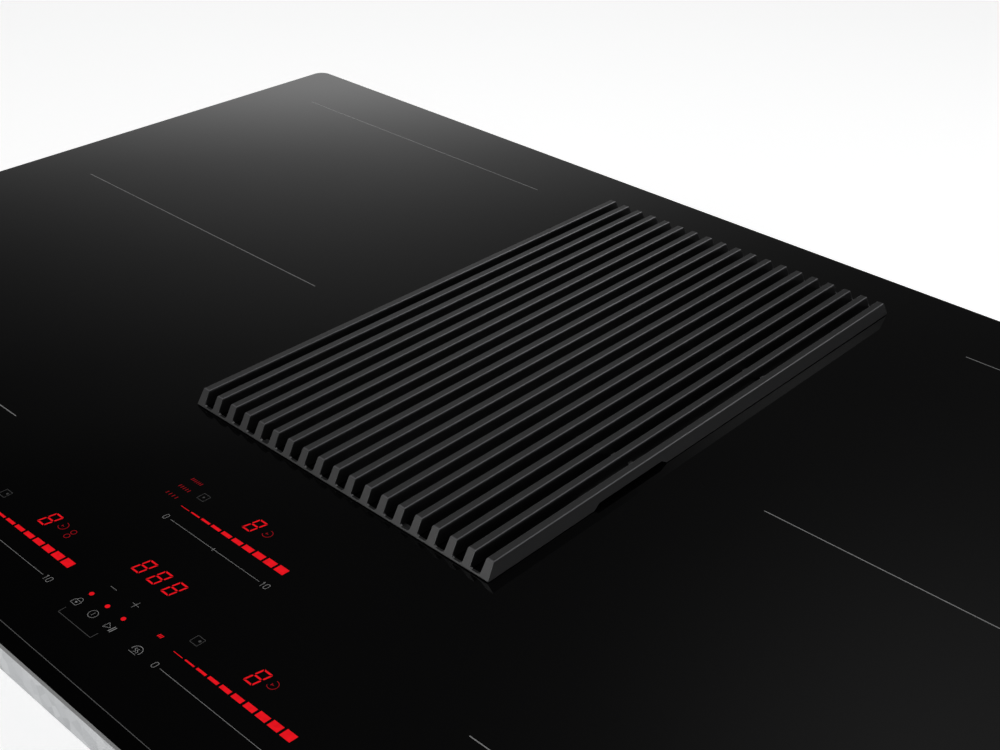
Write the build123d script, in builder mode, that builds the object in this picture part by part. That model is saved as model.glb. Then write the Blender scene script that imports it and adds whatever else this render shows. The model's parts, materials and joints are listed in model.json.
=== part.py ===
from build123d import *
import os
from math import cos, radians, sin

# Induction cooktop with a downdraft extractor in its middle, built into a worktop cut-out.
# Millimetres. X runs to the right, Y to the back and Z up, as the cook sees it. The origin is the
# centre of the glass in plan, at the level of the worktop's top face.

os.makedirs("parts", exist_ok=True)

# ---- Worktop and glass
glass_width = 830
glass_depth = 515
glass_overlap = 11.5
glass_thickness = 4
glass_corner_r = 8
glass_arris = 0.4
bevel_width = 6.6
bevel_drop = 1.2
seal_thickness = 1.5
seal_width = 8
seal_inset = 2

glass_bottom = seal_thickness
glass_top = glass_bottom + glass_thickness
glass_front = -glass_depth / 2
cutout_width = glass_width - 2 * glass_overlap
cutout_depth = glass_depth - 2 * glass_overlap

# ---- Opening of the extractor, and the trim that lines it
opening_width = 168
opening_front_margin = 168.5
opening_back_margin = 50.5
opening_corner_r = 14
trim_clearance = 0.4
trim_wall = 1.6
trim_flange_width = 10
trim_flange_thickness = 1.2
trim_drop = 8

duct_y = (opening_front_margin - opening_back_margin) / 2
opening_depth = glass_depth - opening_front_margin - opening_back_margin
trim_width = opening_width - 2 * trim_clearance
trim_depth = opening_depth - 2 * trim_clearance
trim_corner_r = opening_corner_r - trim_clearance

# ---- Slatted grille
slat_count = 19
slat_pitch = 10.43
slat_top_width = 3.9
slat_root_width = 4.3
slat_edge = 0.35
slat_root_r = 1.2
grille_overlap = 8.3
grille_height = 8.4
grille_side_lean = 0.83
grille_end_lean = 4.2
grille_band = 0.4
rail_height = 1
rail_width = 1.5
tie_width = 3
bay_count = 3
notch_y = -7
notch_length = 52.7
notch_lean = 3.8
notch_height = 2.4
foot_height = 0.4
foot_length = 9
foot_width = 4
foot_spacing_y = 240
foot_spacing_x = 90
lug_drop = 4.8
lug_length = 6
lug_thickness = 3
lug_clearance = 0.6
lug_slat_count = 3

grille_bottom = glass_top + foot_height
grille_top = glass_top + grille_height
grille_length = opening_depth + 2 * grille_overlap
grille_top_width = (slat_count - 1) * slat_pitch + slat_top_width
grille_base_width = grille_top_width + 2 * grille_side_lean
grille_base_length = grille_length + 2 * grille_end_lean
rail_top = grille_bottom + rail_height

# ---- Sheet-steel casing that hangs under the glass
sheet = 0.8
casing_side_gap = 9.5
casing_end_gap = 9
casing_height = 56
casing_corner_r = 8
flange_clearance = 1.5

casing_width = cutout_width - 2 * casing_side_gap
casing_depth = cutout_depth - 2 * casing_end_gap
casing_bottom = -casing_height
casing_floor = casing_bottom + sheet
casing_inner_width = casing_width - 2 * sheet
casing_inner_depth = casing_depth - 2 * sheet

# ---- Suction well, from the opening down to the liquid tray
well_trim_gap = 0.4
well_wall = 2
well_step = 8
well_ledge_z = -42
well_floor_z = -148
well_flange_width = 9
well_flange_thickness = 2
well_casing_gap = 1
window_width = 190
window_bottom = -104
window_top = -62
window_corner_r = 6

well_upper_width = trim_width + 2 * well_trim_gap
well_upper_depth = trim_depth + 2 * well_trim_gap
well_upper_r = trim_corner_r + well_trim_gap
well_lower_width = well_upper_width - 2 * well_step
well_lower_depth = well_upper_depth - 2 * well_step
well_lower_r = well_upper_r - well_step / 2
well_side_x = well_lower_width / 2 + well_wall

# ---- Grease filter cassette on the well's ledge
filter_clearance = 1.5
filter_height = 12
filter_sheet = 1.2
filter_lip = 7
filter_corner_r = 9
pleat_count = 19
pleat_sheet = 0.8
pleat_inset = 1
bracket_width = 24
ear_spacing = 64
ear_width = 9
ear_height = 6
ear_offset = 6
handle_hole_play = 0.1
handle_rest_gap = 0.3
handle_thickness = 3
handle_strip = 5
handle_side_play = 0.5
handle_reach = 26
handle_pin = 2

filter_width = trim_width - 2 * trim_wall - 2 * filter_clearance
filter_depth = trim_depth - 2 * trim_wall - 2 * filter_clearance
filter_top = well_ledge_z + filter_height
bracket_top = filter_top + filter_sheet
handle_y = duct_y - ear_offset
handle_z = bracket_top + handle_rest_gap + handle_thickness / 2

# ---- Liquid tray at the bottom of the well
tray_clearance = 1.5
tray_height = 36
tray_wall = 1.6
tray_rim = 6
tray_corner_r = 16

# ---- Cooking zones: one induction coil under each
coil_side_inset = 134
coil_back_inset = 123
coil_spacing = 188
insulation_thickness = 1
insulation_gap = 0.1
winding_width = 204
winding_depth = 172
winding_corner_r = 50
winding_band = 64
winding_thickness = 4
winding_hole_r = 15
former_width = 212
former_depth = 180
former_corner = 30
former_thickness = 3
former_rib = 3.5
former_rib_length = 60
former_rib_height = 3
ferrite_length = 50
ferrite_width = 14
ferrite_thickness = 4
ferrite_pitch = 30
sensor_size = 12
sensor_flange_size = 18
sensor_flange_thickness = 2
sensor_play = 0.5
spring_offset_x = 84
spring_offset_y = 64
spring_length = 34
spring_width = 9
spring_strip = 0.6
spring_crown = 10
spring_toe = 5

coil_x = casing_width / 2 - coil_side_inset
coil_back_y = casing_depth / 2 - coil_back_inset
coil_front_y = coil_back_y - coil_spacing
insulation_top = glass_bottom - insulation_gap
winding_top = insulation_top - insulation_thickness
winding_bottom = winding_top - winding_thickness
former_bottom = winding_bottom - former_thickness
sensor_hole = sensor_size + 2 * sensor_play

# ---- Folded aluminium plates that carry the coils over the electronics
support_z = -20
support_sheet = 1
support_well_gap = 20
support_wall_gap = 8
support_end_gap = 11
support_window_width = 90
support_window_height = 22
support_window_count = 4
wire_hole_r = 14

support_inner_x = well_upper_width / 2 + well_wall + support_well_gap
support_outer_x = casing_width / 2 - support_wall_gap
support_depth = casing_depth - 2 * support_end_gap

# ---- Power electronics and its two cooling fans
board_thickness = 1.6
board_side_gap = 15
board_fan_gap = 9
board_back_inset = 42
standoff_height = 5
standoff_r = 4
standoff_inset = 8
power_part_inset = 78
capacitor_length = 42
capacitor_width = 20
capacitor_height = 18
capacitor_pitch = 66
capacitor_count = 4
smoother_r = 11
smoother_height = 24
smoother_offset = 35
fan_front_inset = 13
fan_size = 80
fan_height = 24
fan_wall = 1.5
fan_bore_r = 35
fan_inlet_r = 28
fan_outlet_width = 60
fan_outlet_height = 18
fan_blades = 11
fan_blade_thickness = 1.2
fan_blade_angle = 35
fan_rotor_r = 32
fan_rotor_inner_r = 22
fan_rotor_height = 16
fan_disc_thickness = 1.2
fan_hub_r = 13
fan_pin_r = 1.5
fan_pin_play = 0.05
fan_rotor_gap = 0.6
vent_slot_width = 4
vent_slot_length = 44
vent_slot_pitch = 8
vent_slot_count = 6
heatsink_width = 60
heatsink_length = 230
heatsink_base = 3
heatsink_height = 22
heatsink_fins = 9
heatsink_fin_thickness = 1.4
heatsink_inset = 29
heatsink_fan_gap = 17
rear_vent_count = 10
rear_vent_pitch = 9
rear_vent_width = 4
rear_vent_height = 30

heatsink_x = support_inner_x + heatsink_inset + heatsink_width / 2
fan_x = heatsink_x
fan_y = fan_front_inset + fan_size / 2 - casing_depth / 2
fan_back_y = fan_y + fan_size / 2
heatsink_y = fan_back_y + heatsink_fan_gap + heatsink_length / 2
board_x = (support_inner_x + support_outer_x) / 2
board_width = support_outer_x - support_inner_x - 2 * board_side_gap
board_front_y = fan_back_y + board_fan_gap
board_back_y = casing_depth / 2 - board_back_inset
board_depth = board_back_y - board_front_y
board_y = (board_front_y + board_back_y) / 2
power_part_x = support_outer_x - power_part_inset
smoother_x = power_part_x + smoother_offset
board_bottom = casing_floor + standoff_height
board_top = board_bottom + board_thickness
fan_floor = casing_floor + fan_wall

# ---- Touch controls behind the front of the glass
control_front_inset = 5
control_width = 198
control_depth = 100
control_height = 10
control_wall = 2
control_roof = 1.4
control_gap = 0.2
control_leg = 8
control_board_play = 2
display_length = 14
extractor_display_x = -2
extractor_display_offset = 39
extractor_display_width = 14
timer_display_x = -1
timer_display_offset = -10
timer_display_width = 34
left_display_x = -69
left_display_offset = -16
right_display_x = 72
right_display_offset = -20
zone_display_width = 20
display_wall = 1.2
display_depth = 6
display_gap = 0.3

control_y = control_front_inset + control_depth / 2 - casing_depth / 2
control_top = glass_bottom - control_gap
control_board_top = control_top - display_depth

# ---- Mains filter board under the controls
mains_board_width = 150
mains_board_depth = 84
mains_choke_size = 28
mains_choke_height = 24
mains_choke_spacing = 75
mains_capacitor_width = 15
mains_capacitor_length = 30
mains_capacitor_height = 16

# ---- Terminal box under the casing, at the back left
terminal_side_inset = 104
terminal_back_inset = 7
terminal_width = 90
terminal_depth = 60
terminal_height = 32
terminal_wall = 2
terminal_cover_thickness = 2
terminal_block_width = 60
terminal_block_depth = 22
terminal_block_height = 14
terminal_poles = 5
terminal_pitch = 11
terminal_clamp = 6
terminal_cable_r = 9
gland_r = 11
gland_bore_r = 6.5
gland_neck_r = 8.5
gland_neck_play = 0.1
gland_nut = 5
gland_length = 14
gland_hex = 9
gland_z = -73

terminal_x = terminal_side_inset - casing_width / 2
terminal_back = casing_depth / 2 - terminal_back_inset
terminal_y = terminal_back - terminal_depth / 2
terminal_bottom = casing_bottom - terminal_height

# ---- Blower beside the well: wheel on an upright axis in a volute
blower_x = 200
blower_y = 0
wheel_r = 82
wheel_blades = 30
blade_thickness = 1.2
blade_inner_r = 67
blade_inset = 1
blade_fold_angle = 1
blade_tip_angle = 8
wheel_sheet = 1.6
wheel_bottom = -188
wheel_top = -118
wheel_ring_width = 4
hub_play = 0.8
hub_top = -148
volute_start_r = 97
volute_growth = 14
volute_wall = 2
volute_top = -108
volute_bottom = -200
volute_flange = 6
volute_exit_y = 115
tongue_angle = 60
tongue_r = 5
inlet_r = 66
inlet_lip = 7
plenum_wall = 2
plenum_right_x = 292
plenum_front_y = -82
plenum_back_y = 160
plenum_corner_r = 40
hanger_width = 30
hanger_sheet = 1.2
hanger_foot = 14
hanger_side_y = 55

plenum_bottom = volute_top
scroll_floor = volute_bottom + volute_wall
scroll_ceiling = volute_top - volute_wall
inlet_mouth_r = inlet_r + inlet_lip
exit_x = blower_x + volute_growth / 2 + volute_start_r + 2 * volute_growth
tongue_x = blower_x - volute_growth / 2 + volute_start_r * cos(radians(tongue_angle))

# ---- External-rotor motor inside the wheel
shaft_r = 4
shaft_play = 0.03
bearing_r = 8
bearing_height = 6
bearing_seat_play = 0.02
motor_tube_wall = 2.5
motor_tube_top = -156
motor_base_r = 42
motor_base_thickness = 3
isolator_height = 4
isolator_size = 10
isolator_circle_r = 33
stator_r = 31
stator_bottom = -184
stator_height = 22
stator_slots = 9
stator_slot_width = 5
stator_slot_depth = 11
rotor_wall = 2
rotor_gap = 1.2
rotor_bottom = -187
shaft_end = 4.8

motor_base_bottom = scroll_floor + isolator_height
motor_base_top = motor_base_bottom + motor_base_thickness
motor_tube_r = bearing_r + bearing_seat_play + motor_tube_wall
magnet_r = stator_r + rotor_gap
rotor_r = magnet_r + rotor_wall
hub_r = rotor_r + hub_play + wheel_sheet

# ---- Outlet at the back
spigot_width = 218
spigot_height = 85
spigot_wall = 2
spigot_x = 274
spigot_z = -154
spigot_length = 21
spigot_reach = 6
spigot_flange_width = 228
spigot_flange_height = 92
spigot_flange_thickness = 2

spigot_end_y = casing_depth / 2 + spigot_reach

# ---- Leaf springs that grip the sides of the cut-out
clip_width = 18
clip_sheet = 0.8
clip_height = 40
clip_bulge = 7
clip_z = -28
clip_spacing_y = 300


def keep(piece, name):
    piece.part.label = name
    export_step(piece.part, f"parts/{name}.step")


def make_glass_plate():
    with BuildPart() as glass_plate:
        with BuildSketch(Plane.XY.offset(glass_bottom)):
            RectangleRounded(glass_width, glass_depth, glass_corner_r)
        extrude(amount=glass_thickness)
        chamfer(glass_plate.faces().sort_by(Axis.Z)[-1].edges(), glass_arris)
        with BuildSketch(Plane.XY.offset(glass_bottom)):
            with Locations((0, duct_y)):
                RectangleRounded(opening_width, opening_depth, opening_corner_r)
        extrude(amount=glass_thickness, mode=Mode.SUBTRACT)
        # The front edge is ground to a wide shallow bevel.
        with BuildSketch(Plane.YZ):
            with BuildLine():
                Polyline(
                    (glass_front, glass_top - bevel_drop),
                    (glass_front + bevel_width, glass_top),
                    (glass_front, glass_top + bevel_drop),
                    close=True,
                )
            make_face()
        extrude(amount=glass_width / 2, both=True, mode=Mode.SUBTRACT)
    keep(glass_plate, "glass_plate")


def make_worktop_seal():
    outer_width = glass_width - 2 * seal_inset
    outer_depth = glass_depth - 2 * seal_inset
    with BuildPart() as worktop_seal:
        with BuildSketch():
            RectangleRounded(outer_width, outer_depth, glass_corner_r)
            Rectangle(outer_width - 2 * seal_width, outer_depth - 2 * seal_width, mode=Mode.SUBTRACT)
        extrude(amount=seal_thickness)
    keep(worktop_seal, "worktop_seal")


def make_opening_trim():
    with BuildPart() as opening_trim:
        with BuildSketch(Plane.XY.offset(-trim_drop)):
            with Locations((0, duct_y)):
                RectangleRounded(trim_width, trim_depth, trim_corner_r)
        extrude(amount=trim_drop + glass_top)
        with BuildSketch(Plane.XY.offset(glass_bottom - trim_flange_thickness)):
            with Locations((0, duct_y)):
                RectangleRounded(
                    opening_width + 2 * trim_flange_width,
                    opening_depth + 2 * trim_flange_width,
                    opening_corner_r + trim_flange_width,
                )
        extrude(amount=trim_flange_thickness)
        with BuildSketch(Plane.XY.offset(-trim_drop)):
            with Locations((0, duct_y)):
                RectangleRounded(
                    trim_width - 2 * trim_wall, trim_depth - 2 * trim_wall, trim_corner_r - trim_wall
                )
        extrude(amount=trim_drop + glass_top, mode=Mode.SUBTRACT)
    keep(opening_trim, "opening_trim")


def leaning_outline(middle, half_base, half_top, band_top):
    # Corners of the casting's outline: upright foot, leaning side, small bevel round the top.
    side_slope = (half_base - half_top) / (grille_top - band_top)
    bevel_half = half_top + side_slope * slat_edge
    half_outline = [
        (half_base, grille_bottom),
        (half_base, band_top),
        (bevel_half, grille_top - slat_edge),
        (half_top - slat_edge, grille_top),
    ]
    right_side = [(middle + x, z) for x, z in half_outline]
    left_side = [(middle - x, z) for x, z in reversed(half_outline)]
    return right_side + left_side


def make_grille():
    band_top = grille_bottom + grille_band
    gap_top_half = (slat_pitch - slat_top_width) / 2
    gap_root_half = (slat_pitch - slat_root_width) / 2
    gap_slope = (gap_top_half - gap_root_half) / (grille_top - rail_top)
    edge_half = gap_top_half - gap_slope * slat_edge
    over = 2 * slat_edge
    corner_cut = slat_root_r * (1 - sin(radians(45)))
    gap_places = [((i - (slat_count - 2) / 2) * slat_pitch, 0) for i in range(slat_count - 1)]
    inner_length = grille_base_length - 2 * rail_width
    bay_pitch = (inner_length + tie_width) / bay_count
    front_outline = leaning_outline(0, grille_base_width / 2, grille_top_width / 2, band_top)
    side_outline = leaning_outline(duct_y, grille_base_length / 2, grille_length / 2, band_top)
    with BuildPart() as grille:
        # One casting whose sides and ends lean inwards above a low upright foot. It is what two
        # bars have in common: one with the outline seen from the front, one with the side's.
        with BuildSketch(Plane.XZ.offset(-duct_y)):
            with BuildLine():
                Polyline(*front_outline, close=True)
            make_face()
        extrude(amount=grille_base_length / 2, both=True)
        with BuildSketch(Plane.YZ):
            with BuildLine():
                Polyline(*side_outline, close=True)
            make_face()
        extrude(amount=grille_base_width, both=True, mode=Mode.INTERSECT)
        # The gaps between the slats run out through both ends over low rails.
        with BuildSketch(mode=Mode.PRIVATE) as gap:
            with BuildLine():
                Polyline(
                    (0, rail_top),
                    (gap_root_half - slat_root_r, rail_top),
                    (gap_root_half - corner_cut, rail_top + corner_cut),
                    (gap_root_half, rail_top + slat_root_r),
                    (edge_half, grille_top - slat_edge),
                    (edge_half + slat_edge + over, grille_top + over),
                    (0, grille_top + over),
                )
                mirror(about=Plane.YZ)
            make_face()
        with BuildSketch(Plane.XZ.offset(-duct_y)):
            with Locations(*gap_places):
                add(gap.sketch)
        extrude(amount=grille_base_length, both=True, mode=Mode.SUBTRACT)
        # Between the rails and the cross ties the gaps are open to the duct below.
        with BuildSketch(Plane.XY.offset(grille_bottom)):
            with Locations((0, duct_y)):
                with GridLocations(slat_pitch, bay_pitch, slat_count - 1, bay_count):
                    Rectangle(2 * gap_root_half, bay_pitch - tie_width)
        extrude(amount=rail_height + slat_root_r, mode=Mode.SUBTRACT)
        # A finger notch in the foot of each side wall, cut outwards from the last gap's middle.
        for side in (-1, 1):
            with BuildSketch(Plane.YZ.offset(side * gap_places[-1][0])):
                with BuildLine():
                    Polyline(
                        (notch_y - notch_length / 2, grille_bottom),
                        (notch_y + notch_length / 2, grille_bottom),
                        (notch_y + notch_length / 2 - notch_lean, grille_bottom + notch_height),
                        (notch_y - notch_length / 2 + notch_lean, grille_bottom + notch_height),
                        close=True,
                    )
                make_face()
            extrude(amount=side * grille_base_width / 2, mode=Mode.SUBTRACT)
        # Lugs that drop into the opening and keep the grille from sliding.
        lug_y = trim_depth / 2 - trim_wall - lug_clearance - lug_length / 2
        lug_x = slat_pitch * (slat_count // 2 - lug_slat_count)
        side_x = trim_width / 2 - trim_wall - lug_clearance - lug_length / 2
        with BuildSketch(Plane.XY.offset(grille_bottom - lug_drop)):
            with Locations((0, duct_y)):
                with GridLocations(2 * lug_x, 2 * lug_y, 2, 2):
                    Rectangle(slat_top_width, lug_length)
                with GridLocations(2 * side_x, bay_pitch, 2, 2):
                    Rectangle(lug_length, lug_thickness)
        extrude(amount=lug_drop)
    keep(grille, "grille")


def make_grille_feet():
    side_x = grille_base_width / 2 - foot_width / 2 - slat_edge
    end_y = grille_base_length / 2 - foot_width / 2 - slat_edge
    with BuildPart() as grille_feet:
        with BuildSketch(Plane.XY.offset(glass_top)):
            with Locations((0, duct_y)):
                with GridLocations(2 * side_x, foot_spacing_y, 2, 2):
                    Rectangle(foot_width, foot_length)
                with GridLocations(foot_spacing_x, 2 * end_y, 2, 2):
                    Rectangle(foot_length, foot_width)
        extrude(amount=foot_height)
    keep(grille_feet, "grille_feet")


def make_filter_frame():
    inner_width = filter_width - 2 * filter_sheet
    inner_depth = filter_depth - 2 * filter_sheet
    with BuildPart() as filter_frame:
        with BuildSketch(Plane.XY.offset(well_ledge_z)):
            with Locations((0, duct_y)):
                RectangleRounded(filter_width, filter_depth, filter_corner_r)
        extrude(amount=filter_height)
        with BuildSketch(Plane.XY.offset(well_ledge_z + filter_sheet)):
            with Locations((0, duct_y)):
                RectangleRounded(inner_width, inner_depth, filter_corner_r - filter_sheet)
        extrude(amount=filter_height - 2 * filter_sheet, mode=Mode.SUBTRACT)
        with BuildSketch(Plane.XY.offset(well_ledge_z)):
            with Locations((0, duct_y)):
                Rectangle(filter_width - 2 * filter_lip, filter_depth - 2 * filter_lip)
        extrude(amount=filter_height, mode=Mode.SUBTRACT)
    keep(filter_frame, "filter_frame")


def make_filter_pleats():
    low = well_ledge_z + filter_sheet
    high = filter_top - filter_sheet - pleat_sheet
    half_width = filter_width / 2 - filter_sheet - pleat_inset
    half_pitch = half_width / pleat_count
    peaks = [(-half_width + i * half_pitch, high if i % 2 else low) for i in range(2 * pleat_count + 1)]
    upper = [(x, z + pleat_sheet) for x, z in reversed(peaks)]
    length = filter_depth - 2 * filter_sheet - 2 * filter_corner_r
    with BuildPart() as filter_pleats:
        with BuildSketch(Plane.XZ.offset(-duct_y)):
            with BuildLine():
                Polyline(*peaks, *upper, close=True)
            make_face()
        extrude(amount=length / 2, both=True)
    keep(filter_pleats, "filter_pleats")


def make_handle_bracket():
    with BuildPart() as handle_bracket:
        with BuildSketch(Plane.XY.offset(filter_top)):
            with Locations((0, duct_y)):
                Rectangle(filter_width - filter_lip, bracket_width)
        extrude(amount=filter_sheet)
        with BuildSketch(Plane.XY.offset(bracket_top)):
            with Locations((0, handle_y)):
                with GridLocations(ear_spacing, 0, 2, 1):
                    Rectangle(filter_sheet, ear_width)
        extrude(amount=ear_height)
        with BuildSketch(Plane.YZ):
            with Locations((handle_y, handle_z)):
                Circle(handle_thickness / 2 + handle_hole_play)
        extrude(amount=ear_spacing, both=True, mode=Mode.SUBTRACT)
    keep(handle_bracket, "handle_bracket")


def make_filter_handle():
    # A flat bail that lies on the bracket and swings up to be gripped.
    outer_width = ear_spacing - filter_sheet - 2 * handle_side_play
    inner_width = outer_width - 2 * handle_strip
    pin_x = ear_spacing / 2 + handle_pin
    with BuildPart() as filter_handle:
        with BuildSketch(Plane.XY.offset(handle_z - handle_thickness / 2)) as bail:
            with Locations((0, handle_y + handle_reach / 2)):
                Rectangle(outer_width, handle_reach)
            chamfer(bail.vertices().group_by(Axis.Y)[-1], handle_strip)
            with Locations((0, handle_y + handle_reach / 2 - handle_strip)):
                Rectangle(inner_width, handle_reach, mode=Mode.SUBTRACT)
        extrude(amount=handle_thickness)
        # Round eyes on the pivot's axis, each with a pin that runs out through its ear.
        with BuildSketch(Plane.YZ.offset(inner_width / 2)):
            with Locations((handle_y, handle_z)):
                Circle(handle_thickness / 2)
        extrude(amount=pin_x - inner_width / 2)
        mirror(about=Plane.YZ)
    keep(filter_handle, "filter_handle")


def make_collector_tray():
    rim_width = well_lower_width - 2 * tray_clearance
    rim_depth = well_lower_depth - 2 * tray_clearance
    base_width = rim_width - 2 * tray_rim
    base_depth = rim_depth - 2 * tray_rim
    with BuildPart() as collector_tray:
        with BuildSketch(Plane.XY.offset(well_floor_z)):
            with Locations((0, duct_y)):
                RectangleRounded(base_width, base_depth, tray_corner_r)
        extrude(amount=tray_height)
        with BuildSketch(Plane.XY.offset(well_floor_z + tray_height - tray_wall)):
            with Locations((0, duct_y)):
                RectangleRounded(rim_width, rim_depth, well_lower_r)
        extrude(amount=tray_wall)
        with BuildSketch(Plane.XY.offset(well_floor_z + tray_wall)):
            with Locations((0, duct_y)):
                RectangleRounded(
                    base_width - 2 * tray_wall, base_depth - 2 * tray_wall, tray_corner_r - tray_wall
                )
        extrude(amount=tray_height - tray_wall, mode=Mode.SUBTRACT)
    keep(collector_tray, "collector_tray")


def make_suction_well():
    top = glass_bottom - trim_flange_thickness
    ledge_bottom = well_ledge_z - well_wall
    window_z = (window_bottom + window_top) / 2
    with BuildPart() as suction_well:
        with BuildSketch(Plane.XY.offset(ledge_bottom)):
            with Locations((0, duct_y)):
                RectangleRounded(
                    well_upper_width + 2 * well_wall,
                    well_upper_depth + 2 * well_wall,
                    well_upper_r + well_wall,
                )
        extrude(amount=top - ledge_bottom)
        with BuildSketch(Plane.XY.offset(well_floor_z - well_wall)):
            with Locations((0, duct_y)):
                RectangleRounded(
                    well_lower_width + 2 * well_wall,
                    well_lower_depth + 2 * well_wall,
                    well_lower_r + well_wall,
                )
        extrude(amount=ledge_bottom - well_floor_z + well_wall)
        with BuildSketch(Plane.XY.offset(casing_floor)):
            with Locations((0, duct_y)):
                RectangleRounded(
                    well_lower_width + 2 * well_wall + 2 * well_flange_width,
                    well_lower_depth + 2 * well_wall + 2 * well_flange_width,
                    well_upper_r + well_wall,
                )
        extrude(amount=well_flange_thickness)
        with BuildSketch(Plane.XY.offset(well_ledge_z)):
            with Locations((0, duct_y)):
                RectangleRounded(well_upper_width, well_upper_depth, well_upper_r)
        extrude(amount=top - well_ledge_z, mode=Mode.SUBTRACT)
        with BuildSketch(Plane.XY.offset(well_floor_z)):
            with Locations((0, duct_y)):
                RectangleRounded(well_lower_width, well_lower_depth, well_lower_r)
        extrude(amount=well_ledge_z - well_floor_z, mode=Mode.SUBTRACT)
        # The air leaves through a window in the right-hand wall, above the tray's rim.
        with BuildSketch(Plane.YZ):
            with Locations((duct_y, window_z)):
                RectangleRounded(window_width, window_top - window_bottom, window_corner_r)
        extrude(amount=well_side_x, mode=Mode.SUBTRACT)
    keep(suction_well, "suction_well")


def make_upper_casing():
    with BuildPart() as upper_casing:
        with BuildSketch(Plane.XY.offset(casing_bottom)):
            RectangleRounded(casing_width, casing_depth, casing_corner_r)
        extrude(amount=casing_height + glass_bottom)
        with BuildSketch(Plane.XY.offset(glass_bottom - sheet)):
            RectangleRounded(
                cutout_width - 2 * flange_clearance, cutout_depth - 2 * flange_clearance, casing_corner_r
            )
        extrude(amount=sheet)
        with BuildSketch(Plane.XY.offset(casing_floor)):
            RectangleRounded(casing_inner_width, casing_inner_depth, casing_corner_r - sheet)
        extrude(amount=casing_height + glass_bottom, mode=Mode.SUBTRACT)
        # Floor: the hole for the well, the fans' inlet slots and the hole for the mains wires.
        with BuildSketch(Plane.XY.offset(casing_bottom)):
            with Locations((0, duct_y)):
                RectangleRounded(
                    well_lower_width + 2 * well_wall + 2 * well_casing_gap,
                    well_lower_depth + 2 * well_wall + 2 * well_casing_gap,
                    well_lower_r + well_wall + well_casing_gap,
                )
            with Locations((-fan_x, fan_y), (fan_x, fan_y)):
                with GridLocations(0, vent_slot_pitch, 1, vent_slot_count):
                    Rectangle(vent_slot_length, vent_slot_width)
            with Locations((terminal_x, terminal_y)):
                Circle(terminal_cable_r)
        extrude(amount=sheet, mode=Mode.SUBTRACT)
        # Warm air leaves through two rows of slots in the back wall.
        with BuildSketch(Plane.XZ.offset(-casing_depth / 2)):
            with Locations((-coil_x, casing_bottom / 2), (coil_x, casing_bottom / 2)):
                with GridLocations(rear_vent_pitch, 0, rear_vent_count, 1):
                    Rectangle(rear_vent_width, rear_vent_height)
        extrude(amount=sheet, mode=Mode.SUBTRACT)
    keep(upper_casing, "upper_casing")


def coil_places():
    return {
        "left_back": (-coil_x, coil_back_y),
        "left_front": (-coil_x, coil_front_y),
        "right_back": (coil_x, coil_back_y),
        "right_front": (coil_x, coil_front_y),
    }


def make_insulation_sheets():
    with BuildPart() as insulation_sheets:
        with BuildSketch(Plane.XY.offset(winding_top)) as sheets:
            with Locations(*coil_places().values()):
                Rectangle(former_width, former_depth)
            chamfer(sheets.vertices(), former_corner)
        extrude(amount=insulation_thickness)
    keep(insulation_sheets, "insulation_sheets")


def make_coil_winding(name, place):
    # A flat coil of stranded wire, its turns laid side by side.
    hole_width = winding_width - 2 * winding_band
    hole_depth = winding_depth - 2 * winding_band
    with BuildPart() as winding:
        with BuildSketch(Plane.XY.offset(winding_bottom)):
            with Locations(place):
                RectangleRounded(winding_width, winding_depth, winding_corner_r)
                RectangleRounded(hole_width, hole_depth, winding_hole_r, mode=Mode.SUBTRACT)
        extrude(amount=winding_thickness)
    keep(winding, f"coil_winding_{name}")


def make_coil_former(name, place):
    with BuildPart() as former:
        with BuildSketch(Plane.XY.offset(former_bottom)) as base:
            with Locations(place):
                Rectangle(former_width, former_depth)
            chamfer(base.vertices(), former_corner)
            with Locations(place):
                Rectangle(sensor_hole, sensor_hole, mode=Mode.SUBTRACT)
        extrude(amount=former_thickness)
        # A rib stands up past each side of the winding and keeps it in place.
        with BuildSketch(Plane.XY.offset(winding_bottom)):
            with Locations(place):
                with GridLocations(former_width - former_rib, 0, 2, 1):
                    Rectangle(former_rib, former_rib_length)
                with GridLocations(0, former_depth - former_rib, 1, 2):
                    Rectangle(former_rib_length, former_rib)
        extrude(amount=former_rib_height)
    keep(former, f"coil_former_{name}")


def make_ferrite_bars():
    # Bars under each former, square to the turns: three along each long side, one at each end.
    reach_y = (winding_depth - ferrite_length) / 2
    reach_x = (winding_width - ferrite_length) / 2
    with BuildPart() as ferrite_bars:
        with BuildSketch(Plane.XY.offset(former_bottom - ferrite_thickness)):
            with Locations(*coil_places().values()):
                with GridLocations(ferrite_pitch, 2 * reach_y, 3, 2):
                    Rectangle(ferrite_width, ferrite_length)
                with GridLocations(2 * reach_x, 0, 2, 1):
                    Rectangle(ferrite_length, ferrite_width)
        extrude(amount=ferrite_thickness)
    keep(ferrite_bars, "ferrite_bars")


def make_temperature_sensors():
    flange_bottom = former_bottom - sensor_flange_thickness
    with BuildPart() as temperature_sensors:
        with BuildSketch(Plane.XY.offset(flange_bottom)):
            with Locations(*coil_places().values()):
                Rectangle(sensor_flange_size, sensor_flange_size)
        extrude(amount=sensor_flange_thickness)
        with BuildSketch(Plane.XY.offset(former_bottom)):
            with Locations(*coil_places().values()):
                Rectangle(sensor_size, sensor_size)
        extrude(amount=winding_top - former_bottom)
    keep(temperature_sensors, "temperature_sensors")


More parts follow.
